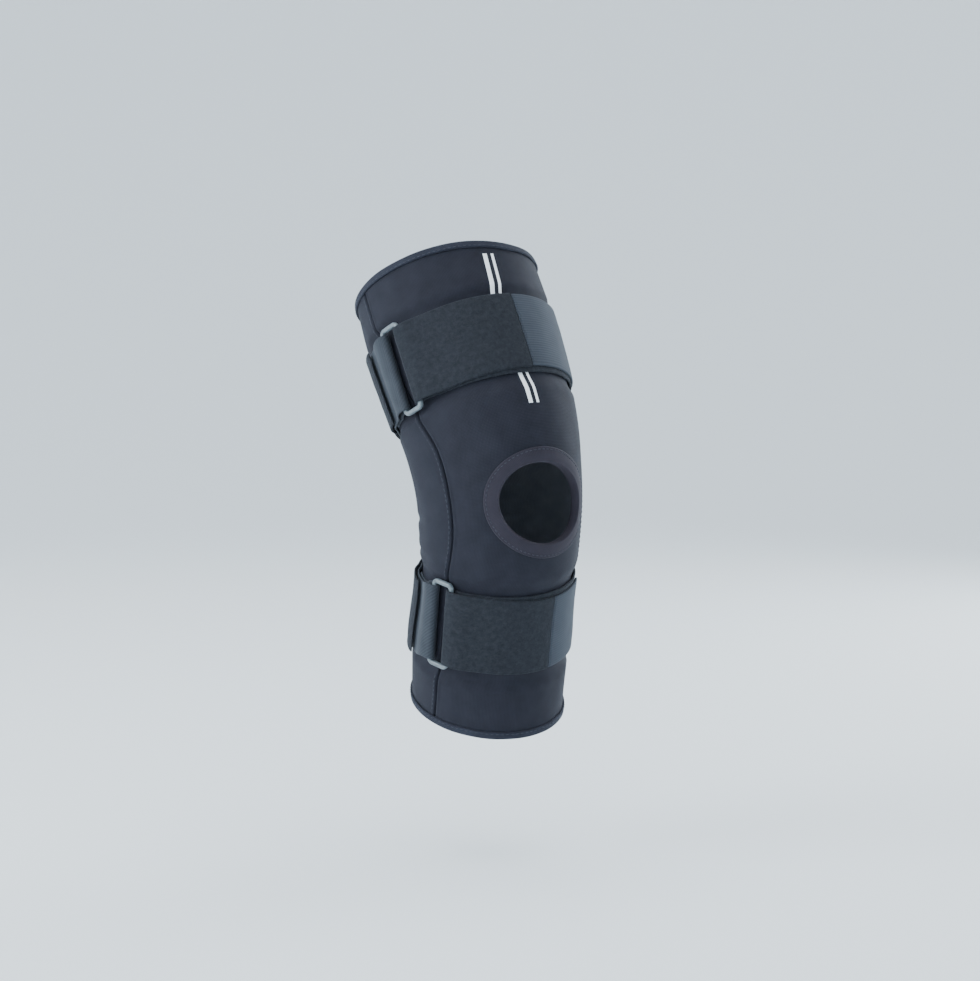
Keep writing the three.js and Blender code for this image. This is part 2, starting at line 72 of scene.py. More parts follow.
def hump(x: np.ndarray | float) -> np.ndarray:
    """Returns a smooth bump of height 1 at 0 that ends at -1 and 1."""
    return np.clip(1.0 - np.square(x), 0.0, None) ** 2


def ripple(x: np.ndarray, y: np.ndarray, seed: float) -> np.ndarray:
    """Returns a slow, uneven wave between about -1 and 1.

    Args:
        x: First place on the cloth, in waves.
        y: Second place on the cloth, in waves.
        seed: Shifts the pattern, so that no two pieces are alike.
    """
    first = np.sin(2.1 * x + 1.3 * y + seed) * np.cos(1.1 * x - 2.3 * y + 1.7 * seed)
    second = np.sin(3.7 * x - 0.9 * y + 2.9 * seed) * np.cos(0.6 * x + 3.1 * y - 0.8 * seed)
    return 0.6 * first + 0.4 * second


@dataclass(frozen=True)
class CurveTable:
    """A short table read as smooth curves.

    Args:
        along: Where each row lies.
        columns: One value for each row, by column name.
    """

    along: tuple[float, ...]
    columns: dict[str, tuple[float, ...]]

    def read(self, column: str, at: np.ndarray) -> np.ndarray:
        """Returns one column's value at each place in at."""
        x = np.asarray(self.along)
        v = np.asarray(self.columns[column])
        last = len(x) - 1
        low = np.maximum(np.arange(last + 1) - 1, 0)
        high = np.minimum(np.arange(last + 1) + 1, last)
        slope = (v[high] - v[low]) / (x[high] - x[low])
        at = np.clip(at, x[0], x[-1])
        row = np.clip(np.searchsorted(x, at, side="right") - 1, 0, last - 1)
        step = x[row + 1] - x[row]
        u = (at - x[row]) / step
        start = v[row] * (2 * u**3 - 3 * u**2 + 1) + slope[row] * step * (u**3 - 2 * u**2 + u)
        end = v[row + 1] * (3 * u**2 - 2 * u**3) + slope[row + 1] * step * (u**3 - u**2)
        return start + end


SECTIONS = CurveTable(
    (-1.0, -0.7, -0.45, -0.19, 0.0, 0.2, 0.47, 0.73, 1.0),
    {
        "side": (0.925, 0.965, 0.935, 0.97, 0.99, 1.045, 1.12, 1.16, 1.135),
        "front": (0.915, 0.83, 0.83, 0.9, 1.0, 1.065, 1.07, 1.05, 1.015),
        "back": (1.0, 1.095, 1.065, 1.035, 1.0, 1.01, 1.09, 1.155, 1.185),
    },
)
SEAMS = CurveTable(
    (-1.0, -0.76, -0.34, -0.16, 0.0, 0.17, 0.33, 0.73, 1.0),
    {
        "outer": (-75, -72, -71, -66.5, -68, -71, -79, -89, -94),
        "inner": (68, 66, 59, 56, 58, 64, 73, 84, 88),
    },
)


@dataclass(frozen=True)
class Crease:
    """A soft crease behind the knee.

    Args:
        along: Its height as a share of the leg's length there.
        angle: The angle of its middle.
        spread: How far it runs either way round the leg.
        depth: How deep it is, as a share of the wall.
    """

    along: float
    angle: float
    spread: float
    depth: float


CREASES = (
    Crease(-0.29, 205, 85, 0.5),
    Crease(-0.2, 180, 75, 0.57),
    Crease(-0.11, 200, 80, 0.53),
    Crease(-0.01, 175, 60, 0.4),
)


@dataclass(frozen=True)
class LegForm:
    """The leg's form over the sleeve's outer face, and the bent axis that it follows."""

    thigh_length: float = 150.5
    shin_length: float = 155.5
    knee_side: float = 54.0
    knee_front: float = 58.0
    knee_back: float = 53.0
    thigh_pitch: float = 27.0
    shin_pitch: float = 18.0
    thigh_splay: float = 2.0
    shin_splay: float = 5.5
    bend_reach: float = 60.0

    def share(self, height: np.ndarray) -> np.ndarray:
        """Returns a height as a share of the thigh's or the shin's length."""
        return np.where(height < 0, height / self.shin_length, height / self.thigh_length)

    def line(self, splay: float, pitch: float, up: float) -> np.ndarray:
        """Returns the direction of one straight part of the leg."""
        a, b = math.radians(splay), math.radians(pitch)
        way = np.array([-up * math.sin(a), math.sin(b), up * math.cos(b)])
        return way / np.linalg.norm(way)

    def axis(self, height: np.ndarray) -> tuple[np.ndarray, np.ndarray, np.ndarray]:
        """Returns the axis's points and its across and rear directions.

        Args:
            height: Heights along the leg, in any shape.
        """
        thigh = self.line(self.thigh_splay, self.thigh_pitch, 1.0)
        shin = self.line(self.shin_splay, self.shin_pitch, -1.0)
        h = np.asarray(height, float)[..., None]
        w = np.clip((h + self.bend_reach) / (2 * self.bend_reach), 0.0, 1.0)
        bend = self.bend_reach * ((1 - w) ** 2 * shin + w**2 * thigh)
        point = np.where(h < -self.bend_reach, -h * shin, np.where(h > self.bend_reach, h * thigh, bend))
        up = (w - 1.0) * shin + w * thigh
        up = up / np.linalg.norm(up, axis=-1, keepdims=True)
        across = np.array([1.0, 0.0, 0.0]) - up[..., :1] * up
        across = across / np.linalg.norm(across, axis=-1, keepdims=True)
        seat = (thigh + shin) * self.bend_reach / 4
        return point - seat, across, np.cross(up, across)

    def place(self, angle: np.ndarray, height: np.ndarray, reach: np.ndarray | float) -> np.ndarray:
        """Returns points beside the leg.

        Args:
            angle: Angles round the leg.
            height: Heights along it.
            reach: How far off its face each point stands.
        """
        angle, height, reach = np.broadcast_arrays(
            np.asarray(angle, float), np.asarray(height, float), np.asarray(reach, float)
        )
        point, across, rear = self.axis(height)
        at = self.share(height)
        side = self.knee_side * SECTIONS.read("side", at)
        front = self.knee_front * SECTIONS.read("front", at)
        back = self.knee_back * SECTIONS.read("back", at)
        sin, cos = np.sin(np.radians(angle)), np.cos(np.radians(angle))
        depth = np.where(cos > 0, front, back)
        lean = np.hypot(sin * depth, cos * side)
        x = side * sin + reach * sin * depth / lean
        y = -depth * cos - reach * cos * side / lean
        return point + across * x[..., None] + rear * y[..., None]


class SeamSide(Enum):
    """The seam on the leg's outer side or the one on its inner side."""

    OUTER = "outer"
    INNER = "inner"


class Held(Enum):
    """How a strip of cloth is held."""

    STRETCHED = "stretched"
    FOLDED = "folded"
    LAID = "laid"


class Weave(Enum):
    """How a cloth's surface is made."""

    KNIT = "knit"
    PILE = "pile"
    RIB = "rib"
    TWILL = "twill"


@dataclass(frozen=True)
class Fold:
    """One fastening's place on the leg.

    Args:
        name: Upper or lower.
        along: The height of the strap's middle, as a share of the leg's length there.
        loop_angle: The angle at which the loop lies.
        loop_tilt: How far the loop leans from the leg's own line.
        free_end: How far behind the loop the strap's free end lies.
        tab_seam: The angle at which the hook tab starts.
        tab_end: The angle at which it ends.
        slope: How far the upper layer rises on its way to the tab, as a share of its width.
        drop: How far the layers behind the loop lie up the leg, as a share of their width.
    """

    name: str
    along: float
    loop_angle: float
    loop_tilt: float
    free_end: float
    tab_seam: float
    tab_end: float
    slope: float
    drop: float

    @property
    def height(self) -> float:
        """Returns the height of the strap's middle."""
        return self.along * (LegForm.shin_length if self.along < 0 else LegForm.thigh_length)

    @property
    def lean(self) -> float:
        """Returns how far the upper layer rises on its way to the tab."""
        return self.slope * STRAP_WIDTH

    @property
    def fall(self) -> float:
        """Returns how far the layers behind the loop lie up the leg."""
        return self.drop * STRAP_WIDTH

    @property
    def covered(self) -> tuple[float, float]:
        """Returns the stretch of the leg that the fastening covers."""
        low = self.height - STRAP_WIDTH / 2 + min(0.0, self.lean, self.fall)
        return low, self.height + STRAP_WIDTH / 2 + max(0.0, self.lean, self.fall)


FOLDS = (
    Fold(
        name="upper", along=0.538, loop_angle=-76.8, loop_tilt=-2.4, free_end=25.5, tab_seam=3.5,
        tab_end=84, slope=0.042, drop=0.0,
    ),
    Fold(
        name="lower", along=-0.527, loop_angle=-72.2, loop_tilt=2.2, free_end=29.5, tab_seam=16.5,
        tab_end=68, slope=-0.046, drop=-0.13,
    ),
)


@dataclass(frozen=True)
class PrintedRun:
    """One stretch of the printed stripes down the front.

    Args:
        name: The stretch's name.
        top: The height of its upper end.
        low: The height of its lower end.
        top_angle: The angle of its left edge at the upper end.
        low_angle: The angle of its left edge at the lower end.
    """

    name: str
    top: float
    low: float
    top_angle: float
    low_angle: float


@dataclass(frozen=True)
class Stripe:
    """One of the two stripes.

    Args:
        name: The stripe's name.
        start: How far right of the stretch's left edge it starts.
        width: How wide it is.
    """

    name: str
    start: float
    width: float


PRINTED_RUNS = (
    PrintedRun("upper_stripe", top=139.2, low=100.0, top_angle=-6.0, low_angle=-8.9),
    PrintedRun("lower_stripe", top=62.0, low=39.6, top_angle=-7.6, low_angle=-5.8),
)
STRIPES = (Stripe("broad", start=0.0, width=2.95), Stripe("narrow", start=5.75, width=2.0))


class ClothShader:
    """A small helper that lays out one material's nodes."""

    def __init__(self, name: str, roughness: float) -> None:
        """Starts a material.

        Args:
            name: The material's name.
            roughness: The surface's roughness.
        """
        self.material = bpy.data.materials.new(name)
        self.material.use_nodes = True
        self.tree = self.material.node_tree
        self.surface = self.tree.nodes["Principled BSDF"]
        self.surface.inputs["Roughness"].default_value = roughness

    def add(self, kind: str, **values: object) -> bpy.types.Node:
        """Returns a new node with its properties and sockets set.

        Args:
            kind: The node's type.
            values: Properties by name, and sockets by name with spaces written as underscores.
        """
        node = self.tree.nodes.new(kind)
        for key, value in values.items():
            if hasattr(node, key):
                setattr(node, key, value)
            else:
                node.inputs[key.replace("_", " ")].default_value = value
        return node

    def link(self, source: bpy.types.NodeSocket, target: bpy.types.NodeSocket) -> None:
        """Joins one socket to another."""
        self.tree.links.new(source, target)

    def lay(self) -> bpy.types.NodeSocket:
        """Returns the place on the cloth in millimetres, as laid flat."""
        return self.add("ShaderNodeAttribute", attribute_name="lay").outputs["Vector"]

    def noise(self, scale: float, detail: float, rough: float = 0.55) -> bpy.types.NodeSocket:
        """Returns noise over the cloth.

        Args:
            scale: One over the size of its features in millimetres.
            detail: How many finer layers it has.
            rough: How strong the finer layers are.
        """
        node = self.add("ShaderNodeTexNoise", Scale=scale, Detail=detail, Roughness=rough)
        self.link(self.lay(), node.inputs["Vector"])
        return node.outputs["Fac"]

    def bands(self, pitch: float, axis: str, wobble: float) -> bpy.types.NodeSocket:
        """Returns even bands across the cloth.

        Args:
            pitch: The bands' spacing in millimetres.
            axis: X for bands that follow one another along the cloth, Y for across.
            wobble: How uneven they are.
        """
        node = self.add("ShaderNodeTexWave", Scale=BAND_SCALE / pitch, Distortion=wobble)
        node.bands_direction = axis
        self.link(self.lay(), node.inputs["Vector"])
        return node.outputs["Fac"]

    def blend(self, a: bpy.types.NodeSocket, b: bpy.types.NodeSocket, how: str) -> bpy.types.NodeSocket:
        """Returns two values joined by a maths operation."""
        node = self.add("ShaderNodeMath", operation=how)
        self.link(a, node.inputs[0])
        self.link(b, node.inputs[1])
        return node.outputs[0]

    def scaled(self, value: bpy.types.NodeSocket, by: float) -> bpy.types.NodeSocket:
        """Returns a value times a number."""
        node = self.add("ShaderNodeMath", operation="MULTIPLY")
        self.link(value, node.inputs[0])
        node.inputs[1].default_value = by
        return node.outputs[0]

    def colour(
        self,
        value: bpy.types.NodeSocket,
        dark: tuple[float, float, float],
        light: tuple[float, float, float],
        low: float,
        high: float,
    ) -> None:
        """Colours the surface between two shades by a value.

        Args:
            value: What the shade follows.
            dark: The colour at low.
            light: The colour at high.
            low: The value that gives the dark colour.
            high: The value that gives the light colour.
        """
        ramp = self.add("ShaderNodeValToRGB")
        ramp.color_ramp.elements[0].position = low
        ramp.color_ramp.elements[0].color = (*dark, 1.0)
        ramp.color_ramp.elements[1].position = high
        ramp.color_ramp.elements[1].color = (*light, 1.0)
        self.link(value, ramp.inputs["Fac"])
        self.link(ramp.outputs["Color"], self.surface.inputs["Base Color"])

    def relief(self, height: bpy.types.NodeSocket, strength: float, depth: float) -> None:
        """Raises the surface by a value, depth millimetres at full strength."""
        bump = self.add("ShaderNodeBump", Strength=strength, Distance=depth * MM)
        self.link(height, bump.inputs["Height"])
        self.link(bump.outputs["Normal"], self.surface.inputs["Normal"])

    def sheen(self, weight: float, roughness: float, tint: tuple[float, float, float]) -> None:
        """Gives the surface the soft edge light of fine fibres."""
        self.surface.inputs["Sheen Weight"].default_value = weight
        self.surface.inputs["Sheen Roughness"].default_value = roughness
        self.surface.inputs["Sheen Tint"].default_value = (*tint, 1.0)


@dataclass(frozen=True)
class ClothFinish:
    """A cloth and how its surface is made.

    Args:
        name: The finish's name.
        dark: The colour of its darker patches and of the painted shade in its hollows.
        light: The colour of its lighter patches and of the painted light on its tops.
        weave: How the surface is made.
        pitch: The spacing of its ribs or stitches in millimetres.
        depth: How deep they are in millimetres.
        roughness: The surface's roughness.
        sheen: How much edge light its fibres give.
        patch: The size of its lighter and darker patches in millimetres.
        sheen_spread: How broad the edge light is.
        specular: How much light its fibres throw straight back.
        darkest: The value up to which it has its dark shade.
        lightest: The value from which it has its light shade.
    """

    name: str
    dark: tuple[float, float, float]
    light: tuple[float, float, float]
    weave: Weave
    pitch: float
    depth: float
    roughness: float
    sheen: float
    patch: float = 14.0
    sheen_spread: float = 0.45
    specular: float = 0.13
    darkest: float = 0.28
    lightest: float = 0.82

    def build(self) -> bpy.types.Material:
        """Returns the finish's material."""
        shader = ClothShader(self.name, self.roughness)
        tint = tuple(0.2 + 0.5 * c / max(self.light) for c in self.light)
        shader.sheen(self.sheen, self.sheen_spread, tint)
        shader.surface.inputs["Specular IOR Level"].default_value = self.specular
        patches = shader.noise(1.0 / self.patch, 3.0)
        grain = shader.noise(1.6 / self.pitch, 4.0, 0.65)
        if self.weave is Weave.KNIT:
            wales = shader.bands(self.pitch, "X", 0.6)
            courses = shader.bands(self.pitch * 0.8, "Y", 0.6)
            cloth = shader.blend(wales, courses, "MULTIPLY")
        elif self.weave is Weave.TWILL:
            diagonal = shader.bands(self.pitch, "DIAGONAL", 0.4)
            cloth = shader.blend(diagonal, shader.bands(self.pitch * 0.6, "Y", 0.3), "MULTIPLY")
        elif self.weave is Weave.RIB:
            cloth = shader.bands(self.pitch, "Y", 0.35)
        else:
            cloth = shader.noise(1.0 / self.pitch, 6.0, 0.75)
        # The colour reads the relief's height as well as random patches: painted shade in the weave's
        # hollows and painted light on its tops, over the cloth's own random mottling.
        fine = shader.blend(shader.scaled(cloth, 0.7), shader.scaled(grain, 0.5), "ADD")
        shade = shader.blend(shader.scaled(patches, 0.45), shader.scaled(fine, 0.5), "ADD")
        shader.colour(shade, self.dark, self.light, self.darkest, self.lightest)
        shader.relief(fine, 0.7, self.depth)
        return shader.material


@dataclass(frozen=True)
class PlasticFinish:
    """A moulded plastic.

    Args:
        name: The finish's name.
        dark: Its darker shade, in random patches.
        light: Its lighter shade, in random patches.
        roughness: The surface's roughness.
        coat: How much of a skin the mould has left.
        coat_roughness: How rough that skin is.
    """

    name: str
    dark: tuple[float, float, float]
    light: tuple[float, float, float]
    roughness: float = 0.42
    coat: float = 0.08
    coat_roughness: float = 0.3

    def build(self) -> bpy.types.Material:
        """Returns the finish's material."""
        shader = ClothShader(self.name, self.roughness)
        patches = shader.noise(0.25, 4.0)
        shader.colour(patches, self.dark, self.light, 0.3, 0.7)
        shader.relief(shader.noise(2.2, 5.0), strength=0.35, depth=0.05)
        shader.surface.inputs["Coat Weight"].default_value = self.coat
        shader.surface.inputs["Coat Roughness"].default_value = self.coat_roughness
        return shader.material


@dataclass(frozen=True)
class PrintFinish:
    """A rubbery white print, a little uneven where the cloth's grain shows through."""

    name: str = "white_print"
    dark: tuple[float, float, float] = (0.78, 0.82, 0.86)
    light: tuple[float, float, float] = (0.95, 0.97, 1.0)
    roughness: float = 0.5

    def build(self) -> bpy.types.Material:
        """Returns the finish's material."""
        shader = ClothShader(self.name, self.roughness)
        grain = shader.noise(1.4, 5.0, 0.7)
        shader.colour(grain, self.dark, self.light, 0.32, 0.5)
        shader.relief(grain, strength=0.4, depth=0.06)
        return shader.material


class Wardrobe:
    """Every finish of the support, built once."""

    def __init__(self) -> None:
        """Builds the materials."""
        self.sleeve = ClothFinish(
            "slate_jersey", (0.0112, 0.012, 0.0186), (0.0262, 0.028, 0.0396), Weave.KNIT,
            pitch=0.9, depth=0.12, roughness=0.72, sheen=0.055,
        ).build()
        self.lining = ClothFinish(
            "lining_jersey", (0.075, 0.083, 0.1), (0.14, 0.153, 0.178), Weave.KNIT,
            pitch=1.1, depth=0.12, roughness=0.85, sheen=0.1,
        ).build()
        self.hem = ClothFinish(
            "slate_binding", (0.0165, 0.0184, 0.028), (0.035, 0.039, 0.056), Weave.TWILL,
            pitch=0.8, depth=0.14, roughness=0.74, sheen=0.07,
        ).build()
        self.band = ClothFinish(
            "dark_binding", (0.022, 0.0198, 0.0285), (0.041, 0.037, 0.051), Weave.KNIT,
            pitch=0.8, depth=0.09, roughness=0.68, sheen=0.065,
        ).build()
        self.strap = ClothFinish(
            "brushed_pile", (0.0074, 0.0092, 0.0128), (0.035, 0.039, 0.048), Weave.PILE,
            pitch=1.3, depth=0.6, roughness=0.92, sheen=0.09, patch=3.2,
        ).build()
        self.tab = ClothFinish(
            "ribbed_tape", (0.031, 0.0375, 0.0495), (0.049, 0.059, 0.0755), Weave.RIB,
            pitch=1.7, depth=0.07, roughness=0.74, sheen=0.075,
        ).build()
        self.webbing = ClothFinish(
            "woven_webbing", (0.025, 0.03, 0.0385), (0.0515, 0.06, 0.0745), Weave.TWILL,
            pitch=1.2, depth=0.12, roughness=0.66, sheen=0.13,
        ).build()
        self.loop = PlasticFinish("grey_plastic", (0.096, 0.12, 0.139), (0.172, 0.207, 0.23)).build()
        self.thread = ClothFinish(
            "slate_thread", (0.03, 0.034, 0.047), (0.066, 0.076, 0.1), Weave.TWILL,
            pitch=0.3, depth=0.05, roughness=0.6, sheen=0.08,
        ).build()
        self.stripe = PrintFinish().build()


def grid_quads(
    rows: int, columns: int, round_rows: bool = False, round_columns: bool = False
) -> np.ndarray:
    """Returns the quads of a grid of points.

    Args:
        rows: How many rows of points there are.
        columns: How many points each row has.
        round_rows: Whether the last row joins the first.
        round_columns: Whether each row closes on itself.
    """
    i = np.arange(rows if round_rows else rows - 1)
    j = np.arange(columns if round_columns else columns - 1)
    i, j = np.meshgrid(i, j, indexing="ij")
    i, j = i.ravel(), j.ravel()
    i2, j2 = (i + 1) % rows, (j + 1) % columns
    return np.stack([i * columns + j, i * columns + j2, i2 * columns + j2, i2 * columns + j], axis=1)


def make_mesh(
    name: str,
    points: np.ndarray,
    faces: Sequence[Sequence[int]],
    lay: np.ndarray,
    finish: bpy.types.Material,
) -> bpy.types.Object:
    """Returns a smooth-shaded piece that rides on the support.

    Args:
        name: The piece's name.
        points: Its corners in millimetres.
        faces: Its faces, as corner numbers.
        lay: Each corner's place on the flat cloth, in millimetres.
        finish: Its material.
    """
    mesh = bpy.data.meshes.new(name)
    mesh.from_pydata((np.asarray(points).reshape(-1, 3) * MM).tolist(), [], [list(f) for f in faces])
    attribute = mesh.attributes.new("lay", "FLOAT_VECTOR", "POINT")
    flat = np.zeros((len(mesh.vertices), 3), np.float32)
    flat[:, :2] = np.asarray(lay).reshape(-1, 2)
    attribute.data.foreach_set("vector", flat.ravel())
    mesh.validate()
    mesh.shade_smooth()
    mesh.materials.append(finish)
    piece = bpy.data.objects.new(name, mesh)
    bpy.context.scene.collection.objects.link(piece)
    face_outwards(mesh)
    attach(piece, BODY)
    return piece


def face_outwards(mesh: bpy.types.Mesh) -> None:
    """Turns the faces of a closed mesh to face out."""
    count = len(mesh.vertices)
    points = np.empty(count * 3, np.float32)
    mesh.vertices.foreach_get("co", points)
    points = points.reshape(-1, 3).astype(float)
    mesh.calc_loop_triangles()
    corners = np.empty(len(mesh.loop_triangles) * 3, np.int32)
    mesh.loop_triangles.foreach_get("vertices", corners)
    a, b, c = (points[corners.reshape(-1, 3)[:, k]] for k in range(3))
    if float(np.einsum("ij,ij->i", a, np.cross(b, c)).sum()) < 0:
        mesh.flip_normals()


def arc_lengths(points: np.ndarray) -> np.ndarray:
    """Returns how far along a line each of its points lies."""
    steps = np.linalg.norm(np.diff(points, axis=0), axis=1)
    return np.concatenate([[0.0], np.cumsum(steps)])


@dataclass
class StitchRow:
    """A row of sewing thread laid on a surface.

    Args:
        length: The length of one stitch.
        pause: The gap between two stitches.
        width: The thread's width.
        rise: How far the thread stands off the cloth.
        sunk: The share of the rise by which it lies lower, so that its ends go into the cloth.
        rings: How many rings of corners one stitch has.
        sides: How many corners each ring has.
    """

    length: float = 2.3
    pause: float = 1.1
    width: float = 0.55
    rise: float = 0.16
    sunk: float = 0.6
    rings: int = 5
    sides: int = 6

    def trace(self, path: np.ndarray, above: np.ndarray) -> tuple[np.ndarray, np.ndarray]:
        """Returns the points and faces of the stitches along a line.

        Args:
            path: Points along the row, on the cloth.
            above: Points over the same places, to tell which way is up.
        """
        along = arc_lengths(path)
        pitch = self.length + self.pause
        starts = np.arange(self.pause, along[-1] - self.length, pitch)
        up = above - path
        up /= np.linalg.norm(up, axis=1, keepdims=True)
        rings, sides = self.rings, self.sides
        share = np.linspace(0.0, 1.0, rings)
        swell = np.sqrt(np.clip(1 - (2 * share - 1) ** 2, 0.03, 1))
        turn = 2 * math.pi * np.arange(sides) / sides
        points: list[np.ndarray] = []
        faces: list[list[int]] = []
        for start in starts:
            at = start + share * self.length
            middle = np.stack([np.interp(at, along, path[:, k]) for k in range(3)], axis=1)
            normal = np.stack([np.interp(at, along, up[:, k]) for k in range(3)], axis=1)
            normal /= np.linalg.norm(normal, axis=1, keepdims=True)
            ahead = np.gradient(middle, axis=0)
            ahead /= np.linalg.norm(ahead, axis=1, keepdims=True)
            beside = np.cross(ahead, normal)
            middle = middle + normal * (self.rise * (swell - self.sunk))[:, None]
            base = sum(len(p) for p in points)
            ring = (
                middle[:, None, :]
                + beside[:, None, :] * (np.cos(turn)[None, :, None] * swell[:, None, None] * self.width / 2)
                + normal[:, None, :] * (np.sin(turn)[None, :, None] * swell[:, None, None] * self.width / 2)
            )
            points.append(ring.reshape(-1, 3))
            quads = grid_quads(rings, sides, round_columns=True) + base
            faces.extend(quads.tolist())
            faces.append([base + k for k in range(sides)])
            faces.append([base + (rings - 1) * sides + k for k in reversed(range(sides))])
        return np.concatenate(points), faces


def sew(
    name: str,
    rows: Sequence[tuple[np.ndarray, np.ndarray]],
    stitch: StitchRow,
    finish: bpy.types.Material,
) -> bpy.types.Object:
    """Returns one piece holding several rows of stitches.

    Args:
        name: The piece's name.
        rows: Each row's line on the cloth and the line above it.
        stitch: The stitches' sizes.
        finish: The thread's material.
    """
    points: list[np.ndarray] = []
    faces: list[list[int]] = []
    for path, above in rows:
        base = sum(len(p) for p in points)
        more, made = stitch.trace(path, above)
        points.append(more)
        faces.extend([[k + base for k in face] for face in made])
    joined = np.concatenate(points)
    piece = make_mesh(name, joined, faces, joined[:, [0, 2]], finish)
    return piece


@dataclass
class Sleeve:
    """The cushioned sleeve: two panels, two hems, the band round the kneecap and the stripes."""

    leg: LegForm
    wardrobe: Wardrobe
    wall: float = 3.0
    gap: float = 0.3
    hem_height: float = 5.5
    hem_thick: float = 1.0
    rim_dip: float = 2.8
    rim_dip_angle: float = 32.0
    rim_dip_spread: float = 62.0
    crease_height: float = 6.0
    opening_length: float = 65.0
    opening_height: float = 51.0
    opening_tilt: float = -25.0
    opening_angle: float = 0.8
    opening_drop: float = 8.5
    opening_band: float = 9.5
    opening_lining: float = 6.0
    band_thick: float = 1.1
    strap_press: float = 2.4
    press_shoulder: float = 9.0
    drape_depth: float = 0.28
    pucker_depth: float = 0.2
    pucker_start: float = 4.0
    pucker_reach: float = 9.0
    seam_depth: float = 1.5
    groove_width: float = 0.75
    seam_lip: float = 0.3
    lip_place: float = 2.2
    lip_width: float = 1.1
    seam_overlap: float = 0.05
    seam_gather: float = 0.145
    inner_groove: float = 0.5
    inner_groove_width: float = 1.2
    thread_beside_seam: float = 2.3
    thread_from_rim: float = 8.0
    thread_from_strap: float = 1.5
    hem_waver: float = 0.25
    hem_thread_inset: float = 1.1
    band_thread_inset: float = 1.7
    print_rise: float = 0.02
    print_thick: float = 0.13
    print_root: float = 0.25
    front_grid: tuple[int, int] = (150, 270)
    back_grid: tuple[int, int] = (170, 240)
    pieces: list[bpy.types.Object] = field(default_factory=list)

    def press(self, height: np.ndarray) -> np.ndarray:
        """Returns how far the straps press the sleeve in at each height."""
        total = np.zeros_like(height)
        for fold in FOLDS:
            low, high = fold.covered
            past = np.maximum(low - height, height - high)
            total = total + self.strap_press * (1 - ease(past / self.press_shoulder))
        return total

    def crease(self, angle: np.ndarray, height: np.ndarray) -> np.ndarray:
        """Returns how deep the creases behind the knee are at each place."""
        total = np.zeros(np.broadcast(angle, height).shape)
        for row in CREASES:
            turn = (angle - row.angle + 180) % 360 - 180
            wave = 1.6 * np.sin(np.radians(turn) * 2.4 + row.angle)
            rise = height - row.along * self.leg.shin_length + wave
            depth = row.depth * self.wall * hump(turn / row.spread)
            total = total + depth * hump(rise / self.crease_height)
        return total

    def drape(self, angle: np.ndarray, height: np.ndarray) -> np.ndarray:
        """Returns the small unevenness of cloth stretched over a leg."""
        slow = self.drape_depth * ripple(np.radians(angle) * 3.2, height / 30, 0.7)
        edge = np.zeros(np.broadcast(angle, height).shape)
        for fold in FOLDS:
            low, high = fold.covered
            past = np.maximum(low - height, height - high) - self.pucker_start
            pucker = np.sin(np.radians(angle) * 21 + fold.height) * np.sin(np.radians(angle) * 5.3)
            edge = edge + self.pucker_depth * pucker * hump(past / self.pucker_reach)
        open_cloth = 1 - ease((self.press(height) - 0.4) / 1.2)
        return (slow + edge) * open_cloth

    def place(self, angle: np.ndarray, height: np.ndarray, reach: np.ndarray | float) -> np.ndarray:
        """Returns points on or beside the sleeve's outer face."""
        angle = np.asarray(angle, float)
        height = np.asarray(height, float)
        sunk = self.press(height) + self.crease(angle, height) - self.drape(angle, height)
        return self.leg.place(angle, height, reach - sunk)

    def rim(self, angle: np.ndarray) -> np.ndarray:
        """Returns the top rim's height at each angle."""
        turn = (np.asarray(angle, float) + 180) % 360 - 180
        return self.leg.thigh_length - self.rim_dip * hump(
            (turn - self.rim_dip_angle) / self.rim_dip_spread
        )

    def opening(self, turn: np.ndarray, margin: np.ndarray | float) -> tuple[np.ndarray, np.ndarray]:
        """Returns the angle and height of places round the kneecap opening.

        Args:
            turn: Where round the oval, in radians.
            margin: How far outside its edge.
        """
        across_scale, rise_scale = self.opening_scale()
        long = (self.opening_length / 2 + margin) * np.cos(turn)
        high = (self.opening_height / 2 + margin) * np.sin(turn)
        tilt = math.radians(self.opening_tilt)
        across = long * math.cos(tilt) - high * math.sin(tilt)
        rise = long * math.sin(tilt) + high * math.cos(tilt)
        return self.opening_angle + across / across_scale, rise / rise_scale - self.opening_drop

    def opening_scale(self) -> tuple[float, float]:
        """Returns the millimetres per degree and per unit of height at the opening's middle."""
        angle = np.array([0.0, 1.0, 0.0]) + self.opening_angle
        height = np.array([0.0, 0.0, 1.0]) - self.opening_drop
        spot = self.leg.place(angle, height, 0.0)
        return float(np.linalg.norm(spot[1] - spot[0])), float(np.linalg.norm(spot[2] - spot[0]))

    def seam_profile(self, distance: np.ndarray) -> np.ndarray:
        """Returns the surface's rise beside a seam: a lip, then down into the groove."""
        groove = -self.seam_depth * np.exp(-((distance / self.groove_width) ** 2))
        lip = self.seam_lip * np.exp(-(((distance - self.lip_place) / self.lip_width) ** 2))
        return groove + lip

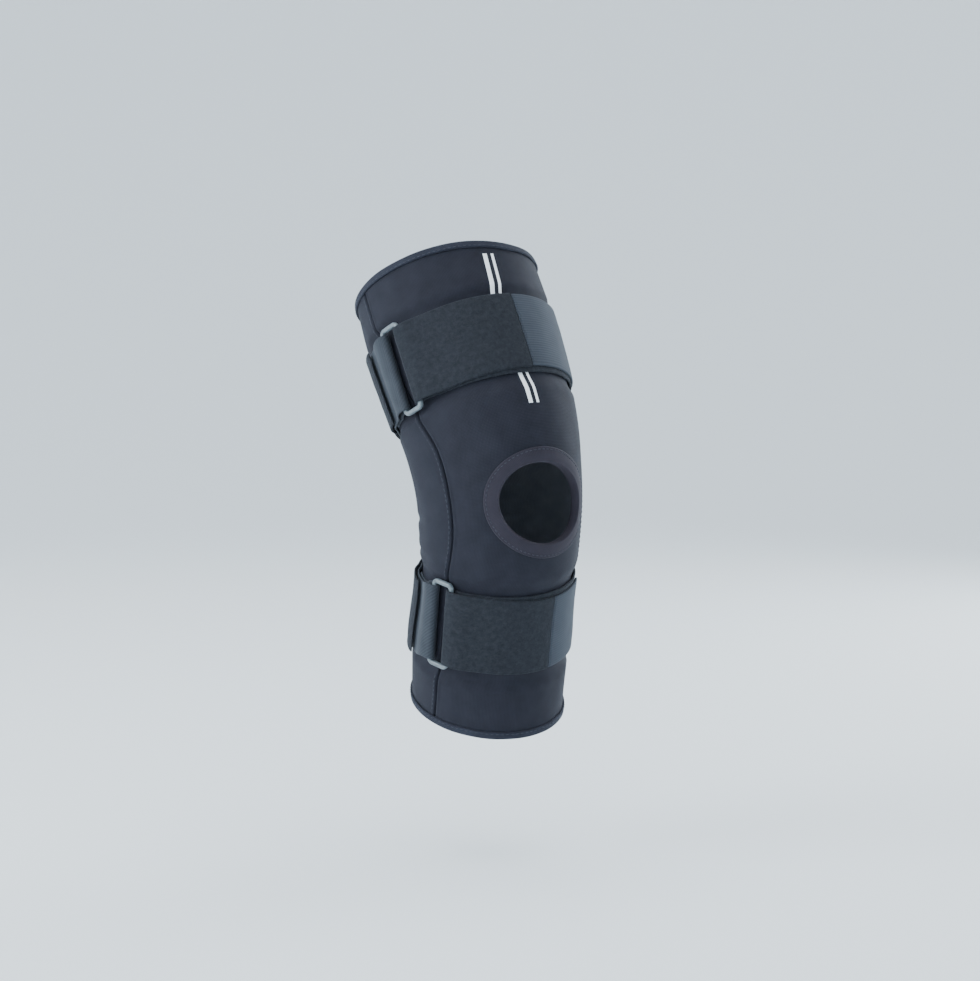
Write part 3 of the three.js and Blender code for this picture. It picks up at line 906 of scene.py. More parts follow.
    def panel(
        self, node: str, start: SeamSide, end: SeamSide, grid: tuple[int, int], cut: bool
    ) -> bpy.types.Object:
        """Returns one panel of the sleeve, between two seams.

        Args:
            node: The solid that it stands for.
            start: The seam on its left.
            end: The seam on its right.
            grid: How many columns and rows its cloth has.
            cut: Whether the kneecap opening is cut in it.
        """
        fine = 1.0
        columns, rows = (int(count * fine) for count in grid)
        low = -self.leg.shin_length + self.hem_thick + self.gap
        top = self.leg.thigh_length - self.hem_thick - self.gap
        height = np.linspace(low, top, rows)
        at = self.leg.share(height)
        meet = math.degrees(self.seam_overlap / self.leg.knee_side)
        left = SEAMS.read(start.value, at) - meet
        right = SEAMS.read(end.value, at) + meet + (360 if start is SeamSide.INNER else 0)
        even = np.linspace(0.0, 1.0, columns)
        share = even - self.seam_gather * np.sin(2 * math.pi * even)
        angle = left[:, None] + (right - left)[:, None] * share[None, :]
        tall = np.repeat(height[:, None], columns, axis=1)
        free = max(f.covered[1] for f in FOLDS) + self.press_shoulder
        pull = np.clip((tall - free) / (top - free), 0, 1)
        tall = tall - pull * (self.leg.thigh_length - self.rim(angle))
        keep = np.ones((rows - 1, columns - 1), bool)
        if cut:
            angle, tall, keep = self.cut_opening(angle, tall)
        outer_mid = self.place(angle, tall, 0.0)
        steps = np.linalg.norm(np.diff(outer_mid, axis=1), axis=2)
        run = np.concatenate([np.zeros((rows, 1)), np.cumsum(steps, axis=1)], axis=1)
        from_seam = np.minimum(run, run[:, -1:] - run)
        outer = self.place(angle, tall, self.seam_profile(from_seam))
        inner_rise = self.inner_groove * np.exp(-((from_seam / self.inner_groove_width) ** 2))
        inner = self.place(angle, tall, -self.wall + inner_rise)
        faces, used = self.panel_faces(rows, columns, keep)
        points = np.concatenate([outer.reshape(-1, 3), inner.reshape(-1, 3)])
        lay = np.stack([run - run[:, columns // 2, None], tall * 1.05], axis=2).reshape(-1, 2)
        lay = np.concatenate([lay, lay + 400.0])
        order = np.full(len(points), -1)
        order[used] = np.arange(len(used))
        piece = make_mesh(f"{node}_cloth", points[used], order[faces], lay[used], self.wardrobe.sleeve)
        self.line_inside(piece, int(keep.sum()))
        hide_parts(node)
        return piece

    def line_inside(self, piece: bpy.types.Object, cells: int) -> None:
        """Gives a panel's inner face the lining's finish.

        Args:
            piece: The panel.
            cells: How many faces each side of it has.
        """
        piece.data.materials.append(self.wardrobe.lining)
        finish = np.zeros(len(piece.data.polygons), np.int32)
        finish[cells : 2 * cells] = 1
        piece.data.polygons.foreach_set("material_index", finish)

    def cut_opening(
        self, angle: np.ndarray, height: np.ndarray
    ) -> tuple[np.ndarray, np.ndarray, np.ndarray]:
        """Cuts the opening out of a grid and draws the grid's cut edge onto the oval.

        Args:
            angle: The grid's angles.
            height: The grid's heights.

        Returns:
            The changed angles and heights, and which of the grid's cells stay.
        """
        across_scale, rise_scale = self.opening_scale()
        across = (angle - self.opening_angle) * across_scale
        rise = (height + self.opening_drop) * rise_scale
        tilt = math.radians(-self.opening_tilt)
        long = across * math.cos(tilt) - rise * math.sin(tilt)
        high = across * math.sin(tilt) + rise * math.cos(tilt)
        margin = self.band_thick + self.gap
        size = (self.opening_length / 2 + margin, self.opening_height / 2 + margin)
        out = np.hypot(long / size[0], high / size[1])
        inside = out < 1.0
        lost = inside[:-1, :-1] | inside[1:, :-1] | inside[:-1, 1:] | inside[1:, 1:]
        near = np.zeros_like(inside)
        for di in (0, 1):
            for dj in (0, 1):
                near[di : di + lost.shape[0], dj : dj + lost.shape[1]] |= lost
        edge = near & ~inside
        turn = np.arctan2(high / size[1], long / size[0])
        spot = self.opening(turn, margin)
        return np.where(edge, spot[0], angle), np.where(edge, spot[1], height), ~lost

    def panel_faces(self, rows: int, columns: int, keep: np.ndarray) -> tuple[np.ndarray, np.ndarray]:
        """Returns the faces of a two-sided grid, walled in wherever a cell ends.

        Args:
            rows: How many rows of points there are.
            columns: How many points each row has.
            keep: Which cells stay.

        Returns:
            The faces, and the numbers of the points that they use.
        """
        size = rows * columns
        quads = grid_quads(rows, columns)[keep.ravel()]
        walls: list[np.ndarray] = []
        padded = np.zeros((rows + 1, columns + 1), bool)
        padded[1:-1, 1:-1] = keep
        here = padded[1:-1, 1:-1]
        i, j = np.meshgrid(np.arange(rows - 1), np.arange(columns - 1), indexing="ij")
        corner = i * columns + j
        sides = (
            (padded[:-2, 1:-1], corner, corner + 1),
            (padded[2:, 1:-1], corner + columns + 1, corner + columns),
            (padded[1:-1, :-2], corner + columns, corner),
            (padded[1:-1, 2:], corner + 1, corner + columns + 1),
        )
        for beyond, first, second in sides:
            ends = here & ~beyond
            a, b = first[ends], second[ends]
            walls.append(np.stack([b, a, a + size, b + size], axis=1))
        faces = np.concatenate([quads, quads[:, ::-1] + size, *walls])
        return faces, np.unique(faces)

    def sweep(
        self,
        name: str,
        node: str,
        section: np.ndarray,
        place: Callable[[np.ndarray, np.ndarray, np.ndarray], np.ndarray],
        stations: int,
        finish: bpy.types.Material,
        girth: float,
    ) -> bpy.types.Object:
        """Returns a binding: a section carried round a closed line.

        Args:
            name: The piece's name.
            node: The solid that it stands for.
            section: Its corners, each as an offset along the cloth and a reach off it.
            place: Gives the points for turns, offsets and reaches.
            stations: How many stations the line has.
            finish: Its material.
            girth: The length of the line in millimetres.
        """
        turn = 2 * math.pi * np.arange(stations) / stations
        grid_turn, offset = np.meshgrid(turn, section[:, 0], indexing="ij")
        reach = np.repeat(section[None, :, 1], stations, axis=0)
        points = place(grid_turn, offset, reach)
        faces = grid_quads(stations, len(section), round_rows=True, round_columns=True)
        width = arc_lengths(section)
        round_line = turn / (2 * math.pi) * girth
        lay = np.stack(np.broadcast_arrays(round_line[:, None], width[None, :]), axis=2)
        piece = make_mesh(name, points, faces, lay, finish)
        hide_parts(node)
        return piece

    def hem_section(self) -> np.ndarray:
        """Returns a hem's section: a soft fold over the rim with two turned-in legs."""
        outer = self.gap + self.hem_thick
        inner = -self.wall - self.gap - self.hem_thick
        middle = (outer + inner) / 2
        half = (outer - inner) / 2
        over = np.radians(np.linspace(90, 270, 15))
        cap = np.stack([1.7 * (1 - np.abs(np.cos(over))), middle + half * np.sin(over)], axis=1)
        down = np.linspace(2.4, self.hem_height - 0.5, 5)
        puff = 0.1 * np.sin(np.pi * (down - 2.0) / (self.hem_height - 2.0))
        outside = np.stack([down[::-1], outer + puff[::-1]], axis=1)
        lip = np.array([[self.hem_height - 0.12, outer - 0.22], [self.hem_height, outer - 0.55]])
        inside = np.stack([down, np.full_like(down, inner)], axis=1)
        tail = np.array([
            [self.hem_height, inner + 0.25], [self.hem_height, -self.wall - self.gap],
            [2.0, -self.wall - self.gap], [self.hem_thick, -self.wall * 0.5 - 1.4],
            [self.hem_thick, -self.wall * 0.5], [self.hem_thick, -0.3], [2.0, self.gap * 0.5],
            [self.hem_height, self.gap * 0.3],
        ])
        return np.concatenate([lip[::-1], outside, cap, inside, tail])

    def hems(self) -> None:
        """Builds the top and the bottom hem and sews them."""
        section = self.hem_section()
        finish = self.wardrobe.hem

        def top(turn: np.ndarray, offset: np.ndarray, reach: np.ndarray) -> np.ndarray:
            """Returns points of the top hem."""
            angle = np.degrees(turn) - 180
            wave = self.hem_waver * ripple(turn * 4, np.zeros_like(offset), 2.0)
            return self.place(angle, self.rim(angle) - offset + wave * (offset > 4.5), reach)

        def bottom(turn: np.ndarray, offset: np.ndarray, reach: np.ndarray) -> np.ndarray:
            """Returns points of the bottom hem."""
            angle = np.degrees(turn) - 180
            wave = self.hem_waver * ripple(turn * 4, np.zeros_like(offset), 5.0)
            return self.place(angle, offset - self.leg.shin_length - wave * (offset > 4.5), reach)

        rims = (("top_hem", top, 260, 388), ("bottom_hem", bottom, 240, 320))
        for node, place, stations, girth in rims:
            name = f"{node}_binding"
            hem = self.sweep(name, node, section, place, stations, finish, girth)
            self.pieces.append(hem)
        turn = np.linspace(0, 2 * math.pi, 400)
        offset = np.full_like(turn, self.hem_height - self.hem_thread_inset)
        skin = np.full_like(turn, self.gap + self.hem_thick + 0.1)
        rows = [(rim(turn, offset, skin), rim(turn, offset, skin + 1)) for rim in (top, bottom)]
        self.pieces.append(sew("hem_stitches", rows, StitchRow(), self.wardrobe.thread))

    def band_section(self) -> np.ndarray:
        """Returns the kneecap band's section: a soft flange outside, a rolled edge, a lining flange."""
        top = self.gap + self.band_thick
        low = -self.wall - self.gap - self.band_thick
        wide = self.opening_band
        outside = np.array([
            [wide, self.gap], [wide + 0.05, self.gap + 0.45], [wide - 0.25, self.gap + 0.85],
            [wide - 0.8, top - 0.05], [wide - 1.7, top - 0.22], [wide - 2.6, top - 0.05],
            [wide - 4.0, top + 0.08], [wide - 6.0, top + 0.12], [2.4, top + 0.05], [1.2, top - 0.1],
        ])
        roll = np.radians(np.linspace(80, -80, 11))
        middle = (top + low) / 2
        edge = np.stack([0.75 * (1 - np.cos(roll)), middle + (top - low) / 2 * np.sin(roll)], axis=1)
        lining = np.array([
            [1.2, low], [3.0, low], [self.opening_lining - 0.4, low], [self.opening_lining, low + 0.4],
            [self.opening_lining, -self.wall - self.gap], [self.band_thick, -self.wall - self.gap],
            [self.band_thick, -self.wall * 0.5], [self.band_thick, self.gap],
        ])
        return np.concatenate([outside, edge, lining])

    def kneecap_band(self) -> None:
        """Builds the band bound round the kneecap opening and sews it."""

        def spot(turn: np.ndarray, offset: np.ndarray, reach: np.ndarray) -> np.ndarray:
            """Returns points of the band."""
            angle, height = self.opening(turn, offset)
            return self.place(angle, height, reach)

        section, finish = self.band_section(), self.wardrobe.band
        band = self.sweep(
            "kneecap_binding", "kneecap_band", section, spot, 220, finish, girth=185
        )
        self.pieces.append(band)
        turn = np.linspace(0, 2 * math.pi, 360)
        offset = np.full_like(turn, self.opening_band - self.band_thread_inset)
        skin = np.full_like(turn, self.gap + self.band_thick - 0.12)
        rows = [(spot(turn, offset, skin), spot(turn, offset, skin + 1))]
        stitch = StitchRow(length=2.0, pause=1.0, width=0.5)
        self.pieces.append(sew("kneecap_stitches", rows, stitch, self.wardrobe.thread))

    def seam_stitches(self) -> None:
        """Sews both seams, with a row of thread on the back panel's lip."""
        low_end = -self.leg.shin_length + self.thread_from_rim
        height = np.linspace(low_end, self.leg.thigh_length - self.thread_from_rim, 500)
        rows = []
        for side, away in ((SeamSide.OUTER, -1), (SeamSide.INNER, 1)):
            angle = SEAMS.read(side.value, self.leg.share(height))
            beside = angle + away * math.degrees(self.thread_beside_seam / self.leg.knee_side)
            for low, high in self.open_stretches():
                part = (height > low) & (height < high)
                line = (beside[part], height[part])
                rows.append((self.place(*line, 0.26), self.place(*line, 1.3)))
        self.pieces.append(sew("seam_stitches", rows, StitchRow(), self.wardrobe.thread))

    def open_stretches(self) -> list[tuple[float, float]]:
        """Returns the stretches of the leg that no strap covers."""
        marks = [-self.leg.shin_length + self.thread_from_rim]
        for fold in sorted(FOLDS, key=lambda f: f.height):
            marks += [fold.covered[0] - self.thread_from_strap, fold.covered[1] + self.thread_from_strap]
        marks.append(self.leg.thigh_length - self.thread_from_rim)
        return [(marks[i], marks[i + 1]) for i in range(0, len(marks), 2)]

    def stripes(self) -> None:
        """Prints the two white stripes down the front, which the upper strap crosses."""
        rows, columns = 60, 7
        across = np.linspace(0.0, 1.0, columns)
        edge = np.clip(np.minimum(across, 1 - across) * 6, 0, 1)
        ends = np.clip(np.minimum(np.arange(rows), np.arange(rows)[::-1]) / 2.0, 0, 1)[:, None]
        whole = np.ones((rows - 1, columns - 1), bool)
        scale = math.radians(self.leg.knee_front * 1.02)
        for run in PRINTED_RUNS:
            height = np.repeat(np.linspace(run.top, run.low, rows)[:, None], columns, axis=1)
            base = np.linspace(run.top_angle, run.low_angle, rows)[:, None]
            for stripe in STRIPES:
                angle = base + (stripe.start + stripe.width * across[None, :]) / scale
                rise = self.print_rise + self.print_thick * edge[None, :] * ends
                skin = self.place(angle, height, rise)
                below = self.place(angle, height, -self.print_root)
                faces, _ = self.panel_faces(rows, columns, whole)
                points = np.concatenate([skin.reshape(-1, 3), below.reshape(-1, 3)])
                lay = np.stack([height, angle], axis=2).reshape(-1, 2)
                lay = np.concatenate([lay, lay + 50])
                name = f"{run.name}_{stripe.name}"
                self.pieces.append(make_mesh(name, points, faces, lay, self.wardrobe.stripe))

    def build(self) -> list[bpy.types.Object]:
        """Builds every piece of the sleeve and returns them."""
        outer, inner = SeamSide.OUTER, SeamSide.INNER
        self.pieces.append(self.panel("front_panel", outer, inner, self.front_grid, cut=True))
        self.pieces.append(self.panel("back_panel", inner, outer, self.back_grid, cut=False))
        self.hems()
        self.kneecap_band()
        self.seam_stitches()
        self.stripes()
        return self.pieces


@dataclass
class LoopFrame:
    """The flat frame of a fastening's loop."""

    middle: np.ndarray
    round: np.ndarray
    along: np.ndarray
    out: np.ndarray
    per_degree: float


@dataclass
class Stations:
    """The stations of a strap: the way round from the loop, the level and the drift of each."""

    way: np.ndarray
    level: np.ndarray
    drift: np.ndarray

    def joined(self, *others: "Stations") -> "Stations":
        """Returns these stations followed by others, without repeated places."""
        way = np.concatenate([self.way, *(o.way for o in others)])
        level = np.concatenate([self.level, *(o.level for o in others)])
        drift = np.concatenate([self.drift, *(o.drift for o in others)])
        moved = np.hypot(np.diff(way), np.diff(level)) > 0.02
        keep = np.concatenate([[True], moved])
        return Stations(way[keep], level[keep], drift[keep])


@dataclass
class Fastening:
    """One fastening: a loop, its holder, the long strap and the hook tab."""

    fold: Fold
    leg: LegForm
    wardrobe: Wardrobe
    gap: float = 0.3
    strap_width: float = STRAP_WIDTH
    strap_thick: float = 1.6
    strap_press: float = 2.4
    holder_thick: float = 1.4
    holder_reach: float = 60.0
    holder_return: float = 38.0
    loop_width: float = 17.2
    loop_bar: float = 3.2
    loop_corner: float = 2.6
    bar_clearance: float = 0.25
    slot_clearance: float = 1.1
    inner_side_lift: float = 1.0
    inner_side_angle: float = 78.0
    inner_side_spread: float = 42.0
    free_end_lift: float = 1.2
    tip_reach: float = 22.0
    strap_settle: float = 26.0
    holder_settle: float = 20.0
    holder_dip: float = 14.0
    holder_step: float = 12.0
    return_step: float = 9.0
    step_margin: float = 4.0
    fall_reach: float = 30.0
    fall_return: float = 60.0
    tab_chamfer: float = 9.0
    tab_inset: float = 0.5
    tab_thread_inset: float = 1.6
    tab_thread_reach: float = 24.5
    blend_reach: float = 14.0
    edge_curl: float = 0.22
    cells_across: int = 26
    loop_sides: int = 24
    pieces: list[bpy.types.Object] = field(default_factory=list)

    def __post_init__(self) -> None:
        """Works out the levels at which the layers lie."""
        self.bar_level = self.gap + self.strap_thick + self.bar_clearance + self.loop_bar / 2
        self.under_level = self.gap + self.strap_thick / 2
        self.over_level = self.under_level + self.strap_thick + self.gap
        self.holder_level = self.gap + self.holder_thick / 2
        self.holder_over = self.holder_level + self.holder_thick + self.gap
        self.bar_out = (self.loop_width - self.loop_bar) / 2
        self.flat_reach = self.loop_width / 2 + self.gap
        self.frame = self.loop_frame()
        self.seed = 1.0 if self.fold.height > 0 else 4.0

    def seat(self, angle: np.ndarray, height: np.ndarray, reach: np.ndarray | float) -> np.ndarray:
        """Returns points over the sleeve where the straps press it in."""
        return self.leg.place(angle, height, np.asarray(reach) - self.strap_press)

    def loop_frame(self) -> LoopFrame:
        """Returns the flat frame in which the loop lies."""
        fold = self.fold
        half = self.strap_width / 2
        spots = self.seat(
            np.array([fold.loop_angle, fold.loop_angle + 1, fold.loop_angle, fold.loop_angle]),
            np.array([fold.height, fold.height, fold.height + half, fold.height - half]),
            self.bar_level,
        )
        ahead = spots[1] - spots[0]
        along = spots[2] - spots[3]
        along /= np.linalg.norm(along)
        out = np.cross(ahead, along)
        out /= np.linalg.norm(out)
        tilt = Matrix.Rotation(math.radians(fold.loop_tilt), 3, Vector(out))
        along = np.array(tilt @ Vector(along))
        return LoopFrame(spots[0], np.cross(along, out), along, out, float(np.linalg.norm(ahead)))

    def point(self, way: np.ndarray, over: np.ndarray, level: np.ndarray, drift: np.ndarray) -> np.ndarray:
        """Returns points of a strap.

        Args:
            way: The way round from the loop.
            over: The way across the strap.
            level: How far over the pressed sleeve.
            drift: How far the strap has moved along the leg.
        """
        way, over, level, drift = np.broadcast_arrays(way, over, level, drift)
        angle = self.fold.loop_angle + way / self.frame.per_degree
        bent = self.seat(angle, self.fold.height + over + drift, level)
        share = ease((np.abs(way) - self.flat_reach) / self.blend_reach)[..., None]
        flat = self.frame.middle + way[..., None] * self.frame.round + over[..., None] * self.frame.along
        flat = flat + (level - self.bar_level)[..., None] * self.frame.out
        return flat * (1 - share) + bent * share

    def run(
        self,
        start: float,
        end: float,
        level: Callable[[np.ndarray], np.ndarray],
        drift: Callable[[np.ndarray], np.ndarray] | None = None,
        step: float = 1.1,
    ) -> Stations:
        """Returns stations along a straight run of a strap.

        Args:
            start: Where it starts.
            end: Where it ends.
            level: The level at each place.
            drift: The drift at each place.
            step: How far apart the stations are.
        """
        way = np.linspace(start, end, max(3, int(abs(end - start) / step)))
        return Stations(way, level(way), drift(way) if drift else np.zeros_like(way))

    def turn_round(self, bar: float, radius: float) -> Stations:
        """Returns stations round a bar of the loop, from under it to over it."""
        swing = np.radians(np.linspace(-90, 90, 17)[1:-1])
        slot = -1.0 if bar > 0 else 1.0
        way = bar + slot * radius * np.cos(swing)
        return Stations(way, self.bar_level + radius * np.sin(swing), np.zeros_like(way))

    def edge_section(self, thick: float) -> np.ndarray:
        """Returns the section of a strap of some thickness: flat faces and soft rounded edges."""
        half = self.strap_width / 2
        soft = thick * 0.48
        face = np.linspace(-half + soft, half - soft, self.cells_across + 1)
        bend = np.radians(np.linspace(90, -90, 7)[1:-1])
        right = np.stack([half - soft + soft * np.cos(bend), thick / 2 * np.sin(bend)], axis=1)
        left = np.stack([-right[::-1, 0], right[::-1, 1]], axis=1)
        top = np.stack([face, np.full_like(face, thick / 2)], axis=1)
        low = np.stack([face[::-1], np.full_like(face, -thick / 2)], axis=1)
        return np.concatenate([top, right, low, left])

    def strap(
        self,
        name: str,
        node: str,
        stations: Stations,
        thick: float,
        finish: bpy.types.Material,
        slot: str,
        held: Held,
        half_width: Callable[[np.ndarray], np.ndarray] | None = None,
        waviness: float = 0.12,
        nap: float = 0.0,
    ) -> None:
        """Builds a strap laid along stations.

        Args:
            name: The piece's name.
            node: The solid that it stands for.
            stations: Where it runs.
            thick: Its thickness.
            finish: Its material.
            slot: Not used.
            held: How it is held; not used.
            half_width: Half its width at each place, if that changes.
            waviness: How far its face waves.
            nap: How deep the brushed pile's tufts are.
        """
        section = self.edge_section(thick)
        across, rise = section[None, :, 0], section[None, :, 1]
        way, level = stations.way, stations.level
        ahead = np.stack([np.gradient(way), np.gradient(level)], axis=1)
        ahead /= np.linalg.norm(ahead, axis=1, keepdims=True)
        length = np.concatenate([[0.0], np.cumsum(np.hypot(np.diff(way), np.diff(level)))])
        from_end = np.minimum(length, length[-1] - length)
        end_soft = np.sqrt(np.clip(from_end / (0.45 * thick), 0.12, 1.0))
        half = self.strap_width / 2
        narrow = np.ones_like(way) if half_width is None else half_width(way) / half
        over = across * narrow[:, None]
        run = length[:, None]
        wave = waviness * ripple(run / 11, across / 9, self.seed)
        curl = self.edge_curl * (across / half) ** 8
        tuft = nap * ripple(run * 1.9, across * 1.7, self.seed * 3)
        tuft = tuft * np.sin(across * 2.3 + 1.9 * np.sin(run * 0.9))
        offset = rise * end_soft[:, None]
        offset = offset + wave - curl + tuft * (rise > 0)
        w = way[:, None] - offset * ahead[:, 1:]
        lv = level[:, None] + offset * ahead[:, :1]
        points = self.point(w, over, lv, stations.drift[:, None])
        faces = grid_quads(len(way), len(section), round_columns=True).tolist()
        faces.append(list(range(len(section))))
        faces.append([(len(way) - 1) * len(section) + k for k in reversed(range(len(section)))])
        lay = np.stack(np.broadcast_arrays(run, over), axis=2)
        piece = make_mesh(name, points, faces, lay, finish)
        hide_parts(node)
        middle = self.point(way, np.zeros_like(way), level, stations.drift)
        cut = float(arc_lengths(middle)[-1])
        self.pieces.append(piece)

    def lean(self, way: np.ndarray) -> np.ndarray:
        """Returns how far the upper layer has risen on its way to the tab."""
        reach = self.frame.per_degree * (self.fold.tab_seam - self.fold.loop_angle)
        return self.fold.lean * ease(way / reach)

    def lift(self, way: np.ndarray) -> np.ndarray:
        """Returns how far the strap stands off on the leg's inner side."""
        angle = self.fold.loop_angle + way / self.frame.per_degree
        return self.inner_side_lift * hump((angle - self.inner_side_angle) / self.inner_side_spread)

    def rear_drift(self, back: np.ndarray) -> np.ndarray:
        """Returns how far the layers behind the loop have moved up the leg.

        Args:
            back: The distance behind the loop.
        """
        past = ease((back - self.holder_reach - self.step_margin) / self.fall_return)
        return self.fold.fall * ease(back / self.fall_reach) * (1 - past)

    def long_strap(self) -> None:
        """Builds the long strap, from its free end round the leg, through the loop and back."""
        degree = self.frame.per_degree
        circle = 360 * degree
        free = circle - self.fold.free_end * degree
        tab = (self.fold.tab_seam - self.fold.loop_angle) * degree - self.gap / 2
        radius = self.loop_bar / 2 + self.bar_clearance + self.strap_thick / 2
        layer = self.holder_thick + self.gap

        def under(way: np.ndarray) -> np.ndarray:
            """Returns the lower layer's level."""
            back = circle - way
            holder = 1 - ease((back - self.holder_reach - self.step_margin) / self.holder_step)
            folded = 1 - ease((back - self.holder_return - self.step_margin) / self.return_step)
            tip = 1 - ease((back - self.fold.free_end * degree) / self.tip_reach)
            return self.under_level + self.lift(way) + layer * (holder + folded) + self.free_end_lift * tip

        def over(way: np.ndarray) -> np.ndarray:
            """Returns the upper layer's level."""
            rise = self.bar_level + radius - self.over_level
            settled = ease((way - self.bar_out) / self.strap_settle)
            return self.over_level + self.lift(way) + rise * (1 - settled)

        def drift(way: np.ndarray) -> np.ndarray:
            """Returns the lower layer's drift along the leg."""
            return self.rear_drift(circle - way)

        stations = self.run(free, self.bar_out, under, drift).joined(
            self.turn_round(self.bar_out, radius),
            self.run(self.bar_out, tab, over, self.lean, step=0.8),
        )
        self.strap(
            f"{self.fold.name}_pile_strap", f"{self.fold.name}_strap", stations, self.strap_thick,
            self.wardrobe.strap, "strap_pile", Held.STRETCHED, nap=0.15,
        )

    def hook_tab(self) -> None:
        """Builds the hook tab and the stitches at its seam."""
        degree = self.frame.per_degree
        start = (self.fold.tab_seam - self.fold.loop_angle) * degree + self.gap / 2
        end = (self.fold.tab_end - self.fold.loop_angle) * degree

        def level(way: np.ndarray) -> np.ndarray:
            """Returns the tab's level."""
            return self.over_level + self.lift(way)

        def half(way: np.ndarray) -> np.ndarray:
            """Returns half the tab's width, with its corners cut off."""
            chamfer = np.clip(way - end + self.tab_chamfer, 0, None)
            return self.strap_width / 2 - self.tab_inset - chamfer

        stations = self.run(start, end, level, self.lean, step=0.8)
        self.strap(
            f"{self.fold.name}_tab_tape", f"{self.fold.name}_hook_tab", stations, self.strap_thick,
            self.wardrobe.tab, "hook_tab", Held.LAID, half, waviness=0.08,
        )
        over = np.linspace(-self.tab_thread_reach, self.tab_thread_reach, 90)
        way = np.full_like(over, start + self.tab_thread_inset)
        skin = level(way) + self.strap_thick / 2
        drift = self.lean(way)
        row = (self.point(way, over, skin, drift), self.point(way, over, skin + 1, drift))
        stitch = StitchRow(length=1.8, pause=0.9, width=0.42, rise=0.1)
        self.pieces.append(
            sew(f"{self.fold.name}_tab_stitches", [row], stitch, self.wardrobe.thread)
        )

    def holder(self) -> None:
        """Builds the webbing that ties the loop to the sleeve."""
        radius = self.loop_bar / 2 + self.bar_clearance + self.holder_thick / 2

        def under(way: np.ndarray) -> np.ndarray:
            """Returns the lower layer's level."""
            rise = self.bar_level - radius - self.holder_level
            return self.holder_level + rise * (1 - ease((-way - self.bar_out) / self.holder_dip))

        def over(way: np.ndarray) -> np.ndarray:
            """Returns the upper layer's level."""
            rise = self.bar_level + radius - self.holder_over
            folded = 1 - ease((-way - self.bar_out) / self.holder_settle)
            single = ease((-way - self.holder_return - self.gap) / self.return_step)
            return self.holder_over + rise * folded - (self.holder_thick + self.gap) * single

        def drift(way: np.ndarray) -> np.ndarray:
            """Returns the holder's drift along the leg."""
            return self.rear_drift(-way)

        stations = self.run(-self.holder_return, -self.bar_out, under, drift).joined(
            self.turn_round(-self.bar_out, radius),
            self.run(-self.bar_out, -self.holder_reach, over, drift),
        )
        self.strap(
            f"{self.fold.name}_webbing", f"{self.fold.name}_loop_holder", stations, self.holder_thick,
            self.wardrobe.webbing, "webbing", Held.FOLDED, waviness=0.06,
        )

    def loop(self) -> None:
        """Builds the moulded loop: a bar bent to a rounded rectangle, flattened a little."""
        wide = self.loop_width / 2 - self.loop_bar / 2
        long = self.strap_width / 2 + self.slot_clearance + self.loop_bar / 2
        spine: list[tuple[float, float, float, float]] = []
        corners = ((1, 1, 0), (-1, 1, 90), (-1, -1, 180), (1, -1, 270))
        for index, (sx, sy, start) in enumerate(corners):
            for swing in np.radians(np.linspace(start, start + 90, 13)):
                c, s = math.cos(swing), math.sin(swing)
                x = sx * (wide - self.loop_corner) + self.loop_corner * c
                y = sy * (long - self.loop_corner) + self.loop_corner * s
                spine.append((x, y, c, s))
            after = corners[(index + 1) % 4]
            side = math.radians(start + 90)
            c, s = math.cos(side), math.sin(side)
            here = (spine[-1][0], spine[-1][1])
            there = (
                after[0] * (wide - self.loop_corner) + self.loop_corner * c,
                after[1] * (long - self.loop_corner) + self.loop_corner * s,
            )
            for share in np.linspace(0, 1, 14)[1:-1]:
                x = here[0] * (1 - share) + there[0] * share
                y = here[1] * (1 - share) + there[1] * share
                spine.append((x, y, c, s))
        line = np.array(spine)
        turn = 2 * math.pi * (np.arange(self.loop_sides) + 0.5) / self.loop_sides
        flat = 0.5 * self.loop_bar * np.sign(np.cos(turn)) * np.abs(np.cos(turn)) ** 0.8
        rise = 0.5 * self.loop_bar * np.sign(np.sin(turn)) * np.abs(np.sin(turn)) ** 0.8
        x = line[:, 0, None] + line[:, 2, None] * flat
        y = line[:, 1, None] + line[:, 3, None] * flat
        z = np.repeat(rise[None, :], len(line), axis=0)
        frame = self.frame
        points = frame.middle + x[..., None] * frame.round + y[..., None] * frame.along
        points = points + z[..., None] * frame.out
        faces = grid_quads(len(line), self.loop_sides, round_rows=True, round_columns=True)
        piece = make_mesh(
            f"{self.fold.name}_moulded_loop", points, faces, np.stack([x, y], axis=2), self.wardrobe.loop
        )
        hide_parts(f"{self.fold.name}_loop")
        self.pieces.append(piece)

    def build(self) -> list[bpy.types.Object]:
        """Builds every piece of the fastening and returns them."""
        self.loop()
        self.holder()
        self.long_strap()
        self.hook_tab()
        return self.pieces


